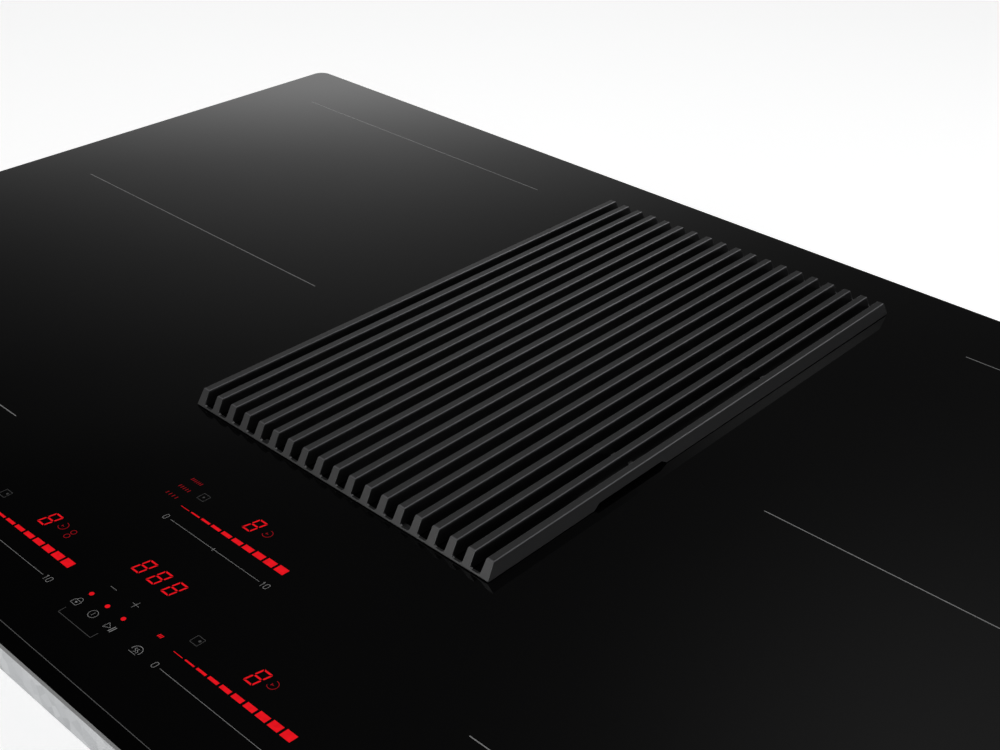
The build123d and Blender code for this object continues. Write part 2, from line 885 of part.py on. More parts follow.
def make_coil_springs():
    # Leaf springs between the support plate and each former press the coils to the glass.
    rise = former_bottom - support_z
    foot = spring_length / 2
    crown = spring_crown / 2
    toe = foot - spring_toe
    with BuildPart() as leaf:
        with BuildSketch(Plane.XZ):
            with BuildLine():
                Polyline(
                    (-foot, 0),
                    (-toe, 0),
                    (-crown, rise - spring_strip),
                    (crown, rise - spring_strip),
                    (toe, 0),
                    (foot, 0),
                    (foot, spring_strip),
                    (toe + spring_strip, spring_strip),
                    (crown + spring_strip, rise),
                    (-crown - spring_strip, rise),
                    (-toe - spring_strip, spring_strip),
                    (-foot, spring_strip),
                    close=True,
                )
            make_face()
        extrude(amount=spring_width / 2, both=True)
    with BuildPart() as coil_springs:
        for x, y in coil_places().values():
            with Locations((x, y, support_z)):
                with Locations((-spring_offset_x, spring_offset_y), (spring_offset_x, -spring_offset_y)):
                    add(leaf.part)
    keep(coil_springs, "coil_springs")


def make_support_plate(name, side):
    plate_x = side * (support_inner_x + support_outer_x) / 2
    plate_width = support_outer_x - support_inner_x
    height = support_z - casing_floor
    window_pitch = support_depth / support_window_count
    with BuildPart() as support_plate:
        with BuildSketch(Plane.XZ):
            with Locations((plate_x, casing_floor + height / 2)):
                Rectangle(plate_width, height)
            with Locations((plate_x, casing_floor + (height - support_sheet) / 2)):
                Rectangle(plate_width - 2 * support_sheet, height - support_sheet, mode=Mode.SUBTRACT)
        extrude(amount=support_depth / 2, both=True)
        with BuildSketch(Plane.YZ):
            with Locations((0, casing_floor + height / 2)):
                with GridLocations(window_pitch, 0, support_window_count, 1):
                    Rectangle(support_window_width, support_window_height)
        extrude(amount=side * glass_width / 2, mode=Mode.SUBTRACT)
        with BuildSketch(Plane.XY.offset(support_z - support_sheet)):
            with Locations((side * coil_x, coil_front_y), (side * coil_x, coil_back_y)):
                Circle(wire_hole_r)
        extrude(amount=support_sheet, mode=Mode.SUBTRACT)
    keep(support_plate, f"support_plate_{name}")


def make_power_board(name, side):
    with BuildPart() as power_board:
        with BuildSketch(Plane.XY.offset(board_bottom)):
            with Locations((side * board_x, board_y)):
                Rectangle(board_width, board_depth)
        extrude(amount=board_thickness)
    keep(power_board, f"power_board_{name}")


def make_board_standoffs():
    with BuildPart() as board_standoffs:
        with BuildSketch(Plane.XY.offset(casing_floor)):
            with Locations((-board_x, board_y), (board_x, board_y)):
                with GridLocations(board_width - 2 * standoff_inset, board_depth - 2 * standoff_inset, 2, 2):
                    RegularPolygon(standoff_r, 6)
            with Locations((0, control_y)):
                with GridLocations(
                    mains_board_width - 2 * standoff_inset, mains_board_depth - 2 * standoff_inset, 2, 2
                ):
                    RegularPolygon(standoff_r, 6)
        extrude(amount=standoff_height)
    keep(board_standoffs, "board_standoffs")


def make_heatsink(name, side):
    fin_pitch = (heatsink_width - heatsink_fin_thickness) / (heatsink_fins - 1)
    with BuildPart() as heatsink:
        with BuildSketch(Plane.XZ.offset(-heatsink_y)):
            with Locations((side * heatsink_x, board_top + heatsink_base / 2)):
                Rectangle(heatsink_width, heatsink_base)
            with Locations((side * heatsink_x, board_top + heatsink_height / 2)):
                with GridLocations(fin_pitch, 0, heatsink_fins, 1):
                    Rectangle(heatsink_fin_thickness, heatsink_height)
        extrude(amount=heatsink_length / 2, both=True)
    keep(heatsink, f"heatsink_{name}")


def make_power_parts():
    # Resonance capacitors in a row on each power board, and a smoothing capacitor beside them.
    with BuildPart() as power_parts:
        with BuildSketch(Plane.XY.offset(board_top)):
            with Locations((-power_part_x, board_y), (power_part_x, board_y)):
                with GridLocations(0, capacitor_pitch, 1, capacitor_count):
                    Rectangle(capacitor_length, capacitor_width)
        extrude(amount=capacitor_height)
        with BuildSketch(Plane.XY.offset(board_top)):
            with Locations((-smoother_x, board_y), (smoother_x, board_y)):
                Circle(smoother_r)
        extrude(amount=smoother_height)
    keep(power_parts, "power_parts")


def make_cooling_fans():
    fan_places = ((-fan_x, fan_y), (fan_x, fan_y))
    with BuildPart() as cooling_fans:
        with BuildSketch(Plane.XY.offset(casing_floor)):
            with Locations(*fan_places):
                Rectangle(fan_size, fan_size)
        extrude(amount=fan_height)
        with BuildSketch(Plane.XY.offset(fan_floor)):
            with Locations(*fan_places):
                Circle(fan_bore_r)
        extrude(amount=fan_height - 2 * fan_wall, mode=Mode.SUBTRACT)
        with BuildSketch(Plane.XY.offset(casing_floor)):
            with Locations(*fan_places):
                Circle(fan_inlet_r)
        extrude(amount=fan_wall, mode=Mode.SUBTRACT)
        # Each outlet faces the heat sink behind its fan.
        with BuildSketch(Plane.XZ.offset(-fan_y)):
            with Locations((-fan_x, casing_floor + fan_height / 2), (fan_x, casing_floor + fan_height / 2)):
                Rectangle(fan_outlet_width, fan_outlet_height)
        extrude(amount=-fan_size / 2, mode=Mode.SUBTRACT)
        with BuildSketch(Plane.XY.offset(casing_floor + fan_height - fan_wall)):
            with Locations(*fan_places):
                Circle(fan_pin_r)
        extrude(amount=-fan_rotor_height - fan_rotor_gap)
    keep(cooling_fans, "cooling_fans")


def make_cooling_rotor(name, side):
    x = side * fan_x
    rotor_top = casing_floor + fan_height - fan_wall - fan_rotor_gap
    blade_length = fan_rotor_r - fan_rotor_inner_r
    with BuildPart() as cooling_rotor:
        with BuildSketch(Plane.XY.offset(rotor_top - fan_disc_thickness)):
            with Locations((x, fan_y)):
                Circle(fan_rotor_r)
        extrude(amount=fan_disc_thickness)
        with BuildSketch(Plane.XY.offset(rotor_top - fan_rotor_height)):
            with Locations((x, fan_y)):
                Circle(fan_hub_r)
                with PolarLocations(fan_rotor_inner_r + blade_length / 2, fan_blades):
                    Rectangle(blade_length, fan_blade_thickness, rotation=fan_blade_angle)
        extrude(amount=fan_rotor_height - fan_disc_thickness)
        with BuildSketch(Plane.XY.offset(rotor_top)):
            with Locations((x, fan_y)):
                Circle(fan_pin_r + fan_pin_play)
        extrude(amount=-fan_rotor_height, mode=Mode.SUBTRACT)
    keep(cooling_rotor, f"cooling_rotor_{name}")


def display_windows():
    # Centre and width of each window in the control carrier.
    return [
        (extractor_display_x, control_y + extractor_display_offset, extractor_display_width),
        (timer_display_x, control_y + timer_display_offset, timer_display_width),
        (left_display_x, control_y + left_display_offset, zone_display_width),
        (right_display_x, control_y + right_display_offset, zone_display_width),
    ]


def make_control_carrier():
    leg_x = (control_width - control_leg) / 2
    leg_y = (control_depth - control_leg) / 2
    bottom = control_top - control_height
    with BuildPart() as control_carrier:
        with BuildSketch(Plane.XY.offset(bottom)):
            with Locations((0, control_y)):
                Rectangle(control_width, control_depth)
        extrude(amount=control_height)
        with BuildSketch(Plane.XY.offset(bottom)):
            with Locations((0, control_y)):
                Rectangle(control_width - 2 * control_wall, control_depth - 2 * control_wall)
        extrude(amount=control_height - control_roof, mode=Mode.SUBTRACT)
        # Light chambers hang from the roof down to the board, one round each display.
        with BuildSketch(Plane.XY.offset(control_board_top)):
            for x, y, width in display_windows():
                with Locations((x, y)):
                    Rectangle(width + 2 * display_wall, display_length + 2 * display_wall)
        extrude(amount=control_top - control_board_top)
        with BuildSketch(Plane.XY.offset(control_board_top)):
            for x, y, width in display_windows():
                with Locations((x, y)):
                    Rectangle(width, display_length)
        extrude(amount=control_height, mode=Mode.SUBTRACT)
        with BuildSketch(Plane.XY.offset(casing_floor)):
            with Locations((0, control_y)):
                with GridLocations(2 * leg_x, 2 * leg_y, 2, 2):
                    Rectangle(control_leg, control_leg)
        extrude(amount=bottom - casing_floor + control_height - control_roof)
    keep(control_carrier, "control_carrier")


def make_control_board():
    inset = control_leg + control_board_play
    with BuildPart() as control_board:
        with BuildSketch(Plane.XY.offset(control_board_top)):
            with Locations((0, control_y)):
                Rectangle(control_width - inset * 2, control_depth - 2 * control_wall - control_board_play)
        extrude(amount=-board_thickness)
    keep(control_board, "control_board")


def make_display_modules():
    with BuildPart() as display_modules:
        with BuildSketch(Plane.XY.offset(control_board_top)):
            for x, y, width in display_windows():
                with Locations((x, y)):
                    Rectangle(width - 2 * display_gap, display_length - 2 * display_gap)
        extrude(amount=control_top - control_board_top - display_gap)
    keep(display_modules, "display_modules")


def make_mains_filter_board():
    with BuildPart() as mains_filter_board:
        with BuildSketch(Plane.XY.offset(board_bottom)):
            with Locations((0, control_y)):
                Rectangle(mains_board_width, mains_board_depth)
        extrude(amount=board_thickness)
    keep(mains_filter_board, "mains_filter_board")


def make_mains_filter_parts():
    with BuildPart() as mains_filter_parts:
        with BuildSketch(Plane.XY.offset(board_top)):
            with Locations((0, control_y)):
                with GridLocations(mains_choke_spacing, 0, 2, 1):
                    Rectangle(mains_choke_size, mains_choke_size)
        extrude(amount=mains_choke_height)
        with BuildSketch(Plane.XY.offset(board_top)):
            with Locations((0, control_y)):
                Rectangle(mains_capacitor_width, mains_capacitor_length)
        extrude(amount=mains_capacitor_height)
    keep(mains_filter_parts, "mains_filter_parts")


def make_terminal_box():
    with BuildPart() as terminal_box:
        with BuildSketch(Plane.XY.offset(terminal_bottom)):
            with Locations((terminal_x, terminal_y)):
                Rectangle(terminal_width, terminal_depth)
        extrude(amount=terminal_height)
        with BuildSketch(Plane.XY.offset(terminal_bottom)):
            with Locations((terminal_x, terminal_y)):
                Rectangle(terminal_width - 2 * terminal_wall, terminal_depth - 2 * terminal_wall)
        extrude(amount=terminal_height - terminal_wall, mode=Mode.SUBTRACT)
        with BuildSketch(Plane.XY.offset(casing_bottom)):
            with Locations((terminal_x, terminal_y)):
                Circle(terminal_cable_r)
        extrude(amount=-terminal_wall, mode=Mode.SUBTRACT)
        with BuildSketch(Plane.XZ.offset(-terminal_back)):
            with Locations((terminal_x, gland_z)):
                Circle(gland_neck_r + gland_neck_play)
        extrude(amount=terminal_wall, mode=Mode.SUBTRACT)
    keep(terminal_box, "terminal_box")


def make_terminal_cover():
    with BuildPart() as terminal_cover:
        with BuildSketch(Plane.XY.offset(terminal_bottom - terminal_cover_thickness)):
            with Locations((terminal_x, terminal_y)):
                RectangleRounded(terminal_width, terminal_depth, terminal_wall)
        extrude(amount=terminal_cover_thickness)
    keep(terminal_cover, "terminal_cover")


def make_terminal_block():
    block_y = terminal_y - terminal_depth / 2 + terminal_wall + terminal_block_depth / 2
    block_top = casing_bottom - terminal_wall
    with BuildPart() as terminal_block:
        with BuildSketch(Plane.XY.offset(block_top)):
            with Locations((terminal_x, block_y)):
                Rectangle(terminal_block_width, terminal_block_depth)
                with GridLocations(terminal_pitch, 0, terminal_poles, 1):
                    Rectangle(terminal_clamp, terminal_clamp, mode=Mode.SUBTRACT)
        extrude(amount=-terminal_block_height)
    keep(terminal_block, "terminal_block")


def make_cable_gland():
    inner_y = terminal_back - terminal_wall - gland_nut
    outer_y = terminal_back + gland_length
    with BuildPart() as cable_gland:
        with BuildSketch(Plane.XZ.offset(-inner_y)):
            with Locations((terminal_x, gland_z)):
                RegularPolygon(gland_r, 6)
        extrude(amount=-gland_nut)
        with BuildSketch(Plane.XZ.offset(-inner_y)):
            with Locations((terminal_x, gland_z)):
                Circle(gland_neck_r)
        extrude(amount=inner_y - outer_y)
        with BuildSketch(Plane.XZ.offset(-terminal_back)):
            with Locations((terminal_x, gland_z)):
                RegularPolygon(gland_r, 6)
        extrude(amount=-gland_hex)
        with BuildSketch(Plane.XZ.offset(-inner_y)):
            with Locations((terminal_x, gland_z)):
                Circle(gland_bore_r)
        extrude(amount=inner_y - outer_y, mode=Mode.SUBTRACT)
    keep(cable_gland, "cable_gland")


def draw_volute(margin=0):
    # Air space of the volute in plan, grown outwards by margin: three quarter turns whose radii
    # step up by the growth, then a straight channel to the back.
    half = volute_growth / 2
    centre_a = (blower_x - half, blower_y - half)
    centre_b = (blower_x + half, blower_y - half)
    centre_c = (blower_x + half, blower_y + half)
    with BuildSketch() as volute:
        with BuildLine():
            first = CenterArc(centre_a, volute_start_r, tongue_angle, 180 - tongue_angle)
            second = CenterArc(centre_b, volute_start_r + volute_growth, 180, 90)
            third = CenterArc(centre_c, volute_start_r + 2 * volute_growth, 270, 90)
            Polyline(third @ 1, (exit_x, volute_exit_y), (tongue_x, volute_exit_y), first @ 0)
        make_face()
        tongue = volute.vertices().sort_by_distance(Vector(tongue_x, (first @ 0).Y))[0]
        fillet(tongue, tongue_r)
        if margin:
            offset(amount=margin, kind=Kind.INTERSECTION)
            with Locations((blower_x, volute_exit_y + 2 * margin)):
                Rectangle(glass_width, 4 * margin, mode=Mode.SUBTRACT)
    return volute.sketch


def make_scroll_housing():
    with BuildPart() as scroll_housing:
        with BuildSketch(Plane.XY.offset(volute_bottom)):
            add(draw_volute(volute_wall))
        extrude(amount=scroll_ceiling - volute_bottom)
        with BuildSketch(Plane.XY.offset(scroll_ceiling - volute_wall)):
            add(draw_volute(volute_wall + volute_flange))
        extrude(amount=volute_wall)
        with BuildSketch(Plane.XY.offset(scroll_floor)):
            add(draw_volute())
        extrude(amount=scroll_ceiling - scroll_floor, mode=Mode.SUBTRACT)
    keep(scroll_housing, "scroll_housing")


def make_scroll_cover():
    with BuildPart() as scroll_cover:
        with BuildSketch(Plane.XY.offset(scroll_ceiling)):
            add(draw_volute(volute_wall + volute_flange))
            with Locations((blower_x, blower_y)):
                Circle(inlet_mouth_r, mode=Mode.SUBTRACT)
        extrude(amount=volute_wall)
        # Bell mouth: the sheet turns down towards the wheel's eye.
        with BuildSketch(Plane.XZ.offset(-blower_y)):
            with BuildLine():
                Polyline(
                    (blower_x + inlet_mouth_r, volute_top),
                    (blower_x + inlet_r, volute_top - inlet_lip),
                    (blower_x + inlet_mouth_r, volute_top - inlet_lip),
                    (blower_x + inlet_mouth_r, scroll_ceiling),
                    close=True,
                )
            make_face()
        revolve(axis=Axis((blower_x, blower_y, 0), (0, 0, 1)))
    keep(scroll_cover, "scroll_cover")


def make_plenum_duct():
    length = plenum_right_x - well_side_x
    depth = plenum_back_y - plenum_front_y
    height = casing_bottom - plenum_bottom
    mid_x = (plenum_right_x + well_side_x) / 2
    mid_y = (plenum_back_y + plenum_front_y) / 2
    with BuildPart() as plenum_duct:
        with BuildSketch(Plane.XY.offset(plenum_bottom)) as outline:
            with Locations((mid_x, mid_y)):
                Rectangle(length, depth)
            fillet(outline.vertices().group_by(Axis.X)[-1], plenum_corner_r)
        extrude(amount=height)
        with BuildSketch(Plane.XY.offset(plenum_bottom + plenum_wall)) as space:
            with Locations((mid_x, mid_y)):
                Rectangle(length - 2 * plenum_wall, depth - 2 * plenum_wall)
            fillet(space.vertices().group_by(Axis.X)[-1], plenum_corner_r - plenum_wall)
        extrude(amount=height - 2 * plenum_wall, mode=Mode.SUBTRACT)
        with BuildSketch(Plane.YZ.offset(well_side_x)):
            with Locations((duct_y, (window_bottom + window_top) / 2)):
                RectangleRounded(window_width, window_top - window_bottom, window_corner_r)
        extrude(amount=plenum_wall, mode=Mode.SUBTRACT)
        with BuildSketch(Plane.XY.offset(plenum_bottom)):
            with Locations((blower_x, blower_y)):
                Circle(inlet_mouth_r)
        extrude(amount=plenum_wall, mode=Mode.SUBTRACT)
    keep(plenum_duct, "plenum_duct")


def make_impeller():
    eye_r = wheel_r - wheel_ring_width
    blade_outer_r = wheel_r - blade_inset
    mid_r = (blade_inner_r + blade_outer_r) / 2

    def on_wheel(radius, angle):
        return (radius * cos(radians(angle)), radius * sin(radians(angle)))

    # Each blade is a strip folded once, so that its tip scoops the way the wheel turns.
    with BuildSketch() as blade:
        with BuildLine():
            fold = Polyline(
                on_wheel(blade_inner_r, 0),
                on_wheel(mid_r, blade_fold_angle),
                on_wheel(blade_outer_r, blade_tip_angle),
            )
            offset(fold, amount=blade_thickness, side=Side.LEFT, kind=Kind.INTERSECTION)
        make_face()
    with BuildPart() as impeller:
        with BuildSketch(Plane.XY.offset(wheel_bottom + wheel_sheet)):
            with Locations((blower_x, blower_y)):
                with PolarLocations(0, wheel_blades):
                    add(blade.sketch)
        extrude(amount=wheel_top - wheel_bottom - wheel_sheet)
        # Back plate, hub over the motor, and the ring round the eye.
        with BuildSketch(Plane.XZ.offset(-blower_y)):
            with BuildLine():
                Polyline(
                    (blower_x + wheel_r, wheel_bottom),
                    (blower_x + wheel_r, wheel_bottom + wheel_sheet),
                    (blower_x + hub_r, wheel_bottom + wheel_sheet),
                    (blower_x + hub_r, hub_top + wheel_sheet),
                    (blower_x + shaft_r + shaft_play, hub_top + wheel_sheet),
                    (blower_x + shaft_r + shaft_play, hub_top),
                    (blower_x + hub_r - wheel_sheet, hub_top),
                    (blower_x + hub_r - wheel_sheet, wheel_bottom),
                    close=True,
                )
            make_face()
            with Locations((blower_x + eye_r + wheel_ring_width / 2, wheel_top + wheel_sheet / 2)):
                Rectangle(wheel_ring_width, wheel_sheet)
        revolve(axis=Axis((blower_x, blower_y, 0), (0, 0, 1)))
    keep(impeller, "impeller")


def make_motor_rotor():
    with BuildPart() as motor_rotor:
        with BuildSketch(Plane.XZ.offset(-blower_y)):
            with BuildLine():
                Polyline(
                    (blower_x, motor_base_top + rotor_gap),
                    (blower_x + shaft_r, motor_base_top + rotor_gap),
                    (blower_x + shaft_r, hub_top - rotor_wall),
                    (blower_x + magnet_r, hub_top - rotor_wall),
                    (blower_x + magnet_r, rotor_bottom),
                    (blower_x + rotor_r, rotor_bottom),
                    (blower_x + rotor_r, hub_top),
                    (blower_x + shaft_r, hub_top),
                    (blower_x + shaft_r, hub_top + shaft_end),
                    (blower_x, hub_top + shaft_end),
                    close=True,
                )
            make_face()
        revolve(axis=Axis((blower_x, blower_y, 0), (0, 0, 1)))
    keep(motor_rotor, "motor_rotor")


def make_motor_base():
    with BuildPart() as motor_base:
        with BuildSketch(Plane.XY.offset(motor_base_bottom)):
            with Locations((blower_x, blower_y)):
                RegularPolygon(motor_base_r, 6)
        extrude(amount=motor_base_thickness)
        with BuildSketch(Plane.XY.offset(motor_base_top)):
            with Locations((blower_x, blower_y)):
                Circle(motor_tube_r)
        extrude(amount=motor_tube_top - motor_base_top)
        with BuildSketch(Plane.XY.offset(motor_base_top)):
            with Locations((blower_x, blower_y)):
                Circle(bearing_r + bearing_seat_play)
        extrude(amount=motor_tube_top - motor_base_top, mode=Mode.SUBTRACT)
    keep(motor_base, "motor_base")


def make_motor_bearings():
    levels = (motor_base_top + rotor_gap, motor_tube_top - bearing_height)
    with BuildPart() as motor_bearings:
        for z in levels:
            with BuildSketch(Plane.XY.offset(z)):
                with Locations((blower_x, blower_y)):
                    Circle(bearing_r)
                    Circle(shaft_r + shaft_play, mode=Mode.SUBTRACT)
            extrude(amount=bearing_height)
    keep(motor_bearings, "motor_bearings")


def make_motor_stator():
    slot_mid = stator_r - stator_slot_depth / 2
    with BuildPart() as motor_stator:
        with BuildSketch(Plane.XY.offset(stator_bottom)):
            with Locations((blower_x, blower_y)):
                Circle(stator_r)
                Circle(motor_tube_r, mode=Mode.SUBTRACT)
                with PolarLocations(slot_mid, stator_slots):
                    Rectangle(stator_slot_depth, stator_slot_width, mode=Mode.SUBTRACT)
        extrude(amount=stator_height)
    keep(motor_stator, "motor_stator")


def make_motor_isolators():
    with BuildPart() as motor_isolators:
        with BuildSketch(Plane.XY.offset(scroll_floor)):
            with Locations((blower_x, blower_y)):
                with PolarLocations(isolator_circle_r, 3):
                    Rectangle(isolator_size, isolator_size)
        extrude(amount=isolator_height)
    keep(motor_isolators, "motor_isolators")


def draw_transition(wall):
    # The duct's solid, drawn in by wall on its four sides: its plan crossed with its side view.
    end_y = spigot_end_y - spigot_length - spigot_flange_thickness
    left = tongue_x - volute_wall + wall
    right = exit_x + volute_wall - wall
    with BuildPart() as duct:
        with BuildSketch(Plane.XY.offset(volute_bottom)):
            with BuildLine():
                Polyline(
                    (left, volute_exit_y),
                    (right, volute_exit_y),
                    (spigot_x + spigot_width / 2 - wall, end_y),
                    (spigot_x - spigot_width / 2 + wall, end_y),
                    close=True,
                )
            make_face()
        extrude(amount=volute_top - volute_bottom)
        with BuildSketch(Plane.YZ):
            with BuildLine():
                Polyline(
                    (volute_exit_y, volute_bottom + wall),
                    (end_y, spigot_z - spigot_height / 2 + wall),
                    (end_y, spigot_z + spigot_height / 2 - wall),
                    (volute_exit_y, volute_top - wall),
                    close=True,
                )
            make_face()
        extrude(amount=glass_width / 2, mode=Mode.INTERSECT)
    return duct.part


def make_outlet_transition():
    # Widens from the volute's exit to the flat duct's width.
    space = draw_transition(volute_wall)
    with BuildPart() as outlet_transition:
        add(draw_transition(0))
        add(space, mode=Mode.SUBTRACT)
    keep(outlet_transition, "outlet_transition")


def make_outlet_spigot():
    flange_y = spigot_end_y - spigot_length
    length = spigot_length + spigot_flange_thickness
    with BuildPart() as outlet_spigot:
        with BuildSketch(Plane.XZ.offset(-flange_y)):
            with Locations((spigot_x, spigot_z)):
                Rectangle(spigot_flange_width, spigot_flange_height)
        extrude(amount=spigot_flange_thickness)
        with BuildSketch(Plane.XZ.offset(-flange_y)):
            with Locations((spigot_x, spigot_z)):
                Rectangle(spigot_width, spigot_height)
        extrude(amount=-spigot_length)
        with BuildSketch(Plane.XZ.offset(-spigot_end_y)):
            with Locations((spigot_x, spigot_z)):
                Rectangle(spigot_width - 2 * spigot_wall, spigot_height - 2 * spigot_wall)
        extrude(amount=length, mode=Mode.SUBTRACT)
    keep(outlet_spigot, "outlet_spigot")


def make_outlet_bracket():
    # Hangs the outlet's flange from the casing's floor.
    face_y = spigot_end_y - spigot_length
    flange_top = spigot_z + spigot_flange_height / 2
    strap_bottom = flange_top - (spigot_flange_height - spigot_height) / 2
    with BuildPart() as outlet_bracket:
        with BuildSketch(Plane.YZ.offset(spigot_x - hanger_width / 2)):
            with BuildLine():
                Polyline(
                    (face_y, strap_bottom),
                    (face_y + hanger_sheet, strap_bottom),
                    (face_y + hanger_sheet, casing_bottom),
                    (face_y - hanger_foot, casing_bottom),
                    (face_y - hanger_foot, casing_bottom - hanger_sheet),
                    (face_y, casing_bottom - hanger_sheet),
                    close=True,
                )
            make_face()
        extrude(amount=hanger_width)
    keep(outlet_bracket, "outlet_bracket")


def make_blower_hanger():
    # Hangs the volute's flange from the casing's floor on its right-hand side.
    face_x = exit_x + volute_wall + volute_flange
    with BuildPart() as blower_hanger:
        with BuildSketch(Plane.XZ.offset(-hanger_side_y)):
            with BuildLine():
                Polyline(
                    (face_x, scroll_ceiling - volute_wall),
                    (face_x + hanger_sheet, scroll_ceiling - volute_wall),
                    (face_x + hanger_sheet, casing_bottom - hanger_sheet),
                    (face_x + hanger_foot, casing_bottom - hanger_sheet),
                    (face_x + hanger_foot, casing_bottom),
                    (face_x, casing_bottom),
                    close=True,
                )
            make_face()
        extrude(amount=hanger_width / 2, both=True)
    keep(blower_hanger, "blower_hanger")


def make_worktop_clips():
    # Bowed leaf springs on both side walls of the casing.
    half = clip_height / 2
    wall_x = casing_width / 2
    with BuildPart() as worktop_clips:
        with BuildSketch(Plane.XZ):
            with BuildLine():
                Polyline(
                    (wall_x, clip_z + half),
                    (wall_x + clip_sheet, clip_z + half),
                    (wall_x + clip_bulge, clip_z + half / 4),
                    (wall_x + clip_bulge, clip_z - half / 4),
                    (wall_x + clip_sheet, clip_z - half),
                    (wall_x, clip_z - half),
                    (wall_x, clip_z - half + 3 * clip_sheet),
                    (wall_x + clip_bulge - clip_sheet, clip_z - half / 4),
                    (wall_x + clip_bulge - clip_sheet, clip_z + half / 4),
                    (wall_x, clip_z + half - 3 * clip_sheet),
                    close=True,
                )
            make_face()
            mirror(about=Plane.YZ)
        extrude(amount=clip_width / 2, both=True)
    clips = worktop_clips.part
    with BuildPart() as clip_set:
        with Locations((0, -clip_spacing_y / 2, 0), (0, clip_spacing_y / 2, 0)):
            add(clips)
    keep(clip_set, "worktop_clips")


make_glass_plate()
make_worktop_seal()
make_opening_trim()
make_grille()
make_grille_feet()
make_filter_frame()
make_filter_pleats()
make_handle_bracket()
make_filter_handle()
make_collector_tray()
make_suction_well()
make_upper_casing()
make_insulation_sheets()
for coil_name, coil_place in coil_places().items():
    make_coil_winding(coil_name, coil_place)
    make_coil_former(coil_name, coil_place)
make_ferrite_bars()
make_temperature_sensors()
make_coil_springs()
for side_name, side_sign in (("left", -1), ("right", 1)):
    make_support_plate(side_name, side_sign)
    make_power_board(side_name, side_sign)
    make_heatsink(side_name, side_sign)
    make_cooling_rotor(side_name, side_sign)
make_cooling_fans()
make_board_standoffs()
make_power_parts()
make_control_carrier()
make_control_board()
make_display_modules()
make_mains_filter_board()
make_mains_filter_parts()
make_terminal_box()
make_terminal_cover()
make_terminal_block()
make_cable_gland()
make_scroll_housing()
make_scroll_cover()
make_plenum_duct()
make_impeller()
make_motor_rotor()
make_motor_base()
make_motor_bearings()
make_motor_stator()
make_motor_isolators()
make_outlet_transition()
make_outlet_spigot()
make_outlet_bracket()
make_blower_hanger()
make_worktop_clips()
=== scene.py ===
# %% [markdown]
# # A downdraft induction cooktop, dressed for a picture
# The frame is the finished solid model, in metres, with its origin at the worktop's top face, at
# the centre of the glass in plan. X runs to the right, Y to the back and Z up, as the cook sees it.
# This file gives every solid its finish and adds what is too fine for the solids: the printed lines
# and symbols, the lit digits under the glass, and the screws underneath.

# %% Load the solid model
import json
import math

import bmesh
import bpy
from mathutils import Matrix, Vector


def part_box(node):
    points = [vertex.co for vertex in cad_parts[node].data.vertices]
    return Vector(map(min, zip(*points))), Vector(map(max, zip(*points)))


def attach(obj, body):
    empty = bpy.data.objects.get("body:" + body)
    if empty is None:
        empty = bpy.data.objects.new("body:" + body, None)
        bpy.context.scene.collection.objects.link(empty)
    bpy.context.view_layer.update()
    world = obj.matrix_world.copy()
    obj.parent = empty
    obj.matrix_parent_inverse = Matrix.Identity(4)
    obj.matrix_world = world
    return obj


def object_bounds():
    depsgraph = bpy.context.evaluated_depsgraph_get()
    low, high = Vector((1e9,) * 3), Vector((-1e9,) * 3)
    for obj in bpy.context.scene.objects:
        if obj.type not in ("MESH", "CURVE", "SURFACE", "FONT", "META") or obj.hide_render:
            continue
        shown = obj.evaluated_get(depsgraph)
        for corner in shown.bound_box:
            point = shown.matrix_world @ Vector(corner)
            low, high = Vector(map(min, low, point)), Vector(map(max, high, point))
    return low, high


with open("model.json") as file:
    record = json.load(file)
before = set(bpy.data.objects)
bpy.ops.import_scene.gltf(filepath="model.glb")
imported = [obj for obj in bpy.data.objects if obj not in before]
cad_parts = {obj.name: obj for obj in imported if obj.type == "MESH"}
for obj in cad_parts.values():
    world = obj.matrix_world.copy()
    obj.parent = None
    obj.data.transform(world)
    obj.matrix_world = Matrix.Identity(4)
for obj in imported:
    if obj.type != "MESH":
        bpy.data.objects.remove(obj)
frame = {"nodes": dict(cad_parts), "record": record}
solid_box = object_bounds()
print("solid model from", [round(v, 4) for v in solid_box[0]], "to", [round(v, 4) for v in solid_box[1]])

MM = 0.001
GLASS_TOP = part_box("glass_plate")[1][2]
print("glass top at", round(GLASS_TOP / MM, 2), "mm")

# %% [markdown]
# ## Camera
# The photograph looks over the front right of the glass to its far left corner. A camera can be
# placed by hand until things look right, but here it was worked out from the known corners of the
# glass and the grille: where it stands, how far it turns from straight back, how far it looks down,
# a small roll, and the lens. The three turns make the camera's own right and up directions.

# %% Camera
CAMERA_PLACE = Vector((0.4053, -0.4400, 0.3835))
CAMERA_TURN = math.radians(42.01)
CAMERA_DOWN = math.radians(31.27)
CAMERA_ROLL = math.radians(1.42)
CAMERA_LENS = 51.74


def look_axes():
    ahead = Vector((
        -math.sin(CAMERA_TURN) * math.cos(CAMERA_DOWN),
        math.cos(CAMERA_TURN) * math.cos(CAMERA_DOWN),
        -math.sin(CAMERA_DOWN),
    ))
    level = Vector((math.cos(CAMERA_TURN), math.sin(CAMERA_TURN), 0))
    upright = level.cross(ahead)
    right = math.cos(CAMERA_ROLL) * level + math.sin(CAMERA_ROLL) * upright
    up = -math.sin(CAMERA_ROLL) * level + math.cos(CAMERA_ROLL) * upright
    return right, up, -ahead


def place_camera():
    data = bpy.data.cameras.new("camera")
    data.lens = CAMERA_LENS
    data.sensor_width = 36
    data.clip_start = 0.02
    camera = bpy.data.objects.new("camera", data)
    right, up, back = look_axes()
    turn = Matrix((right, up, back)).transposed()
    camera.matrix_world = Matrix.Translation(CAMERA_PLACE) @ turn.to_4x4()
    bpy.context.scene.collection.objects.link(camera)
    bpy.context.scene.camera = camera
    return camera


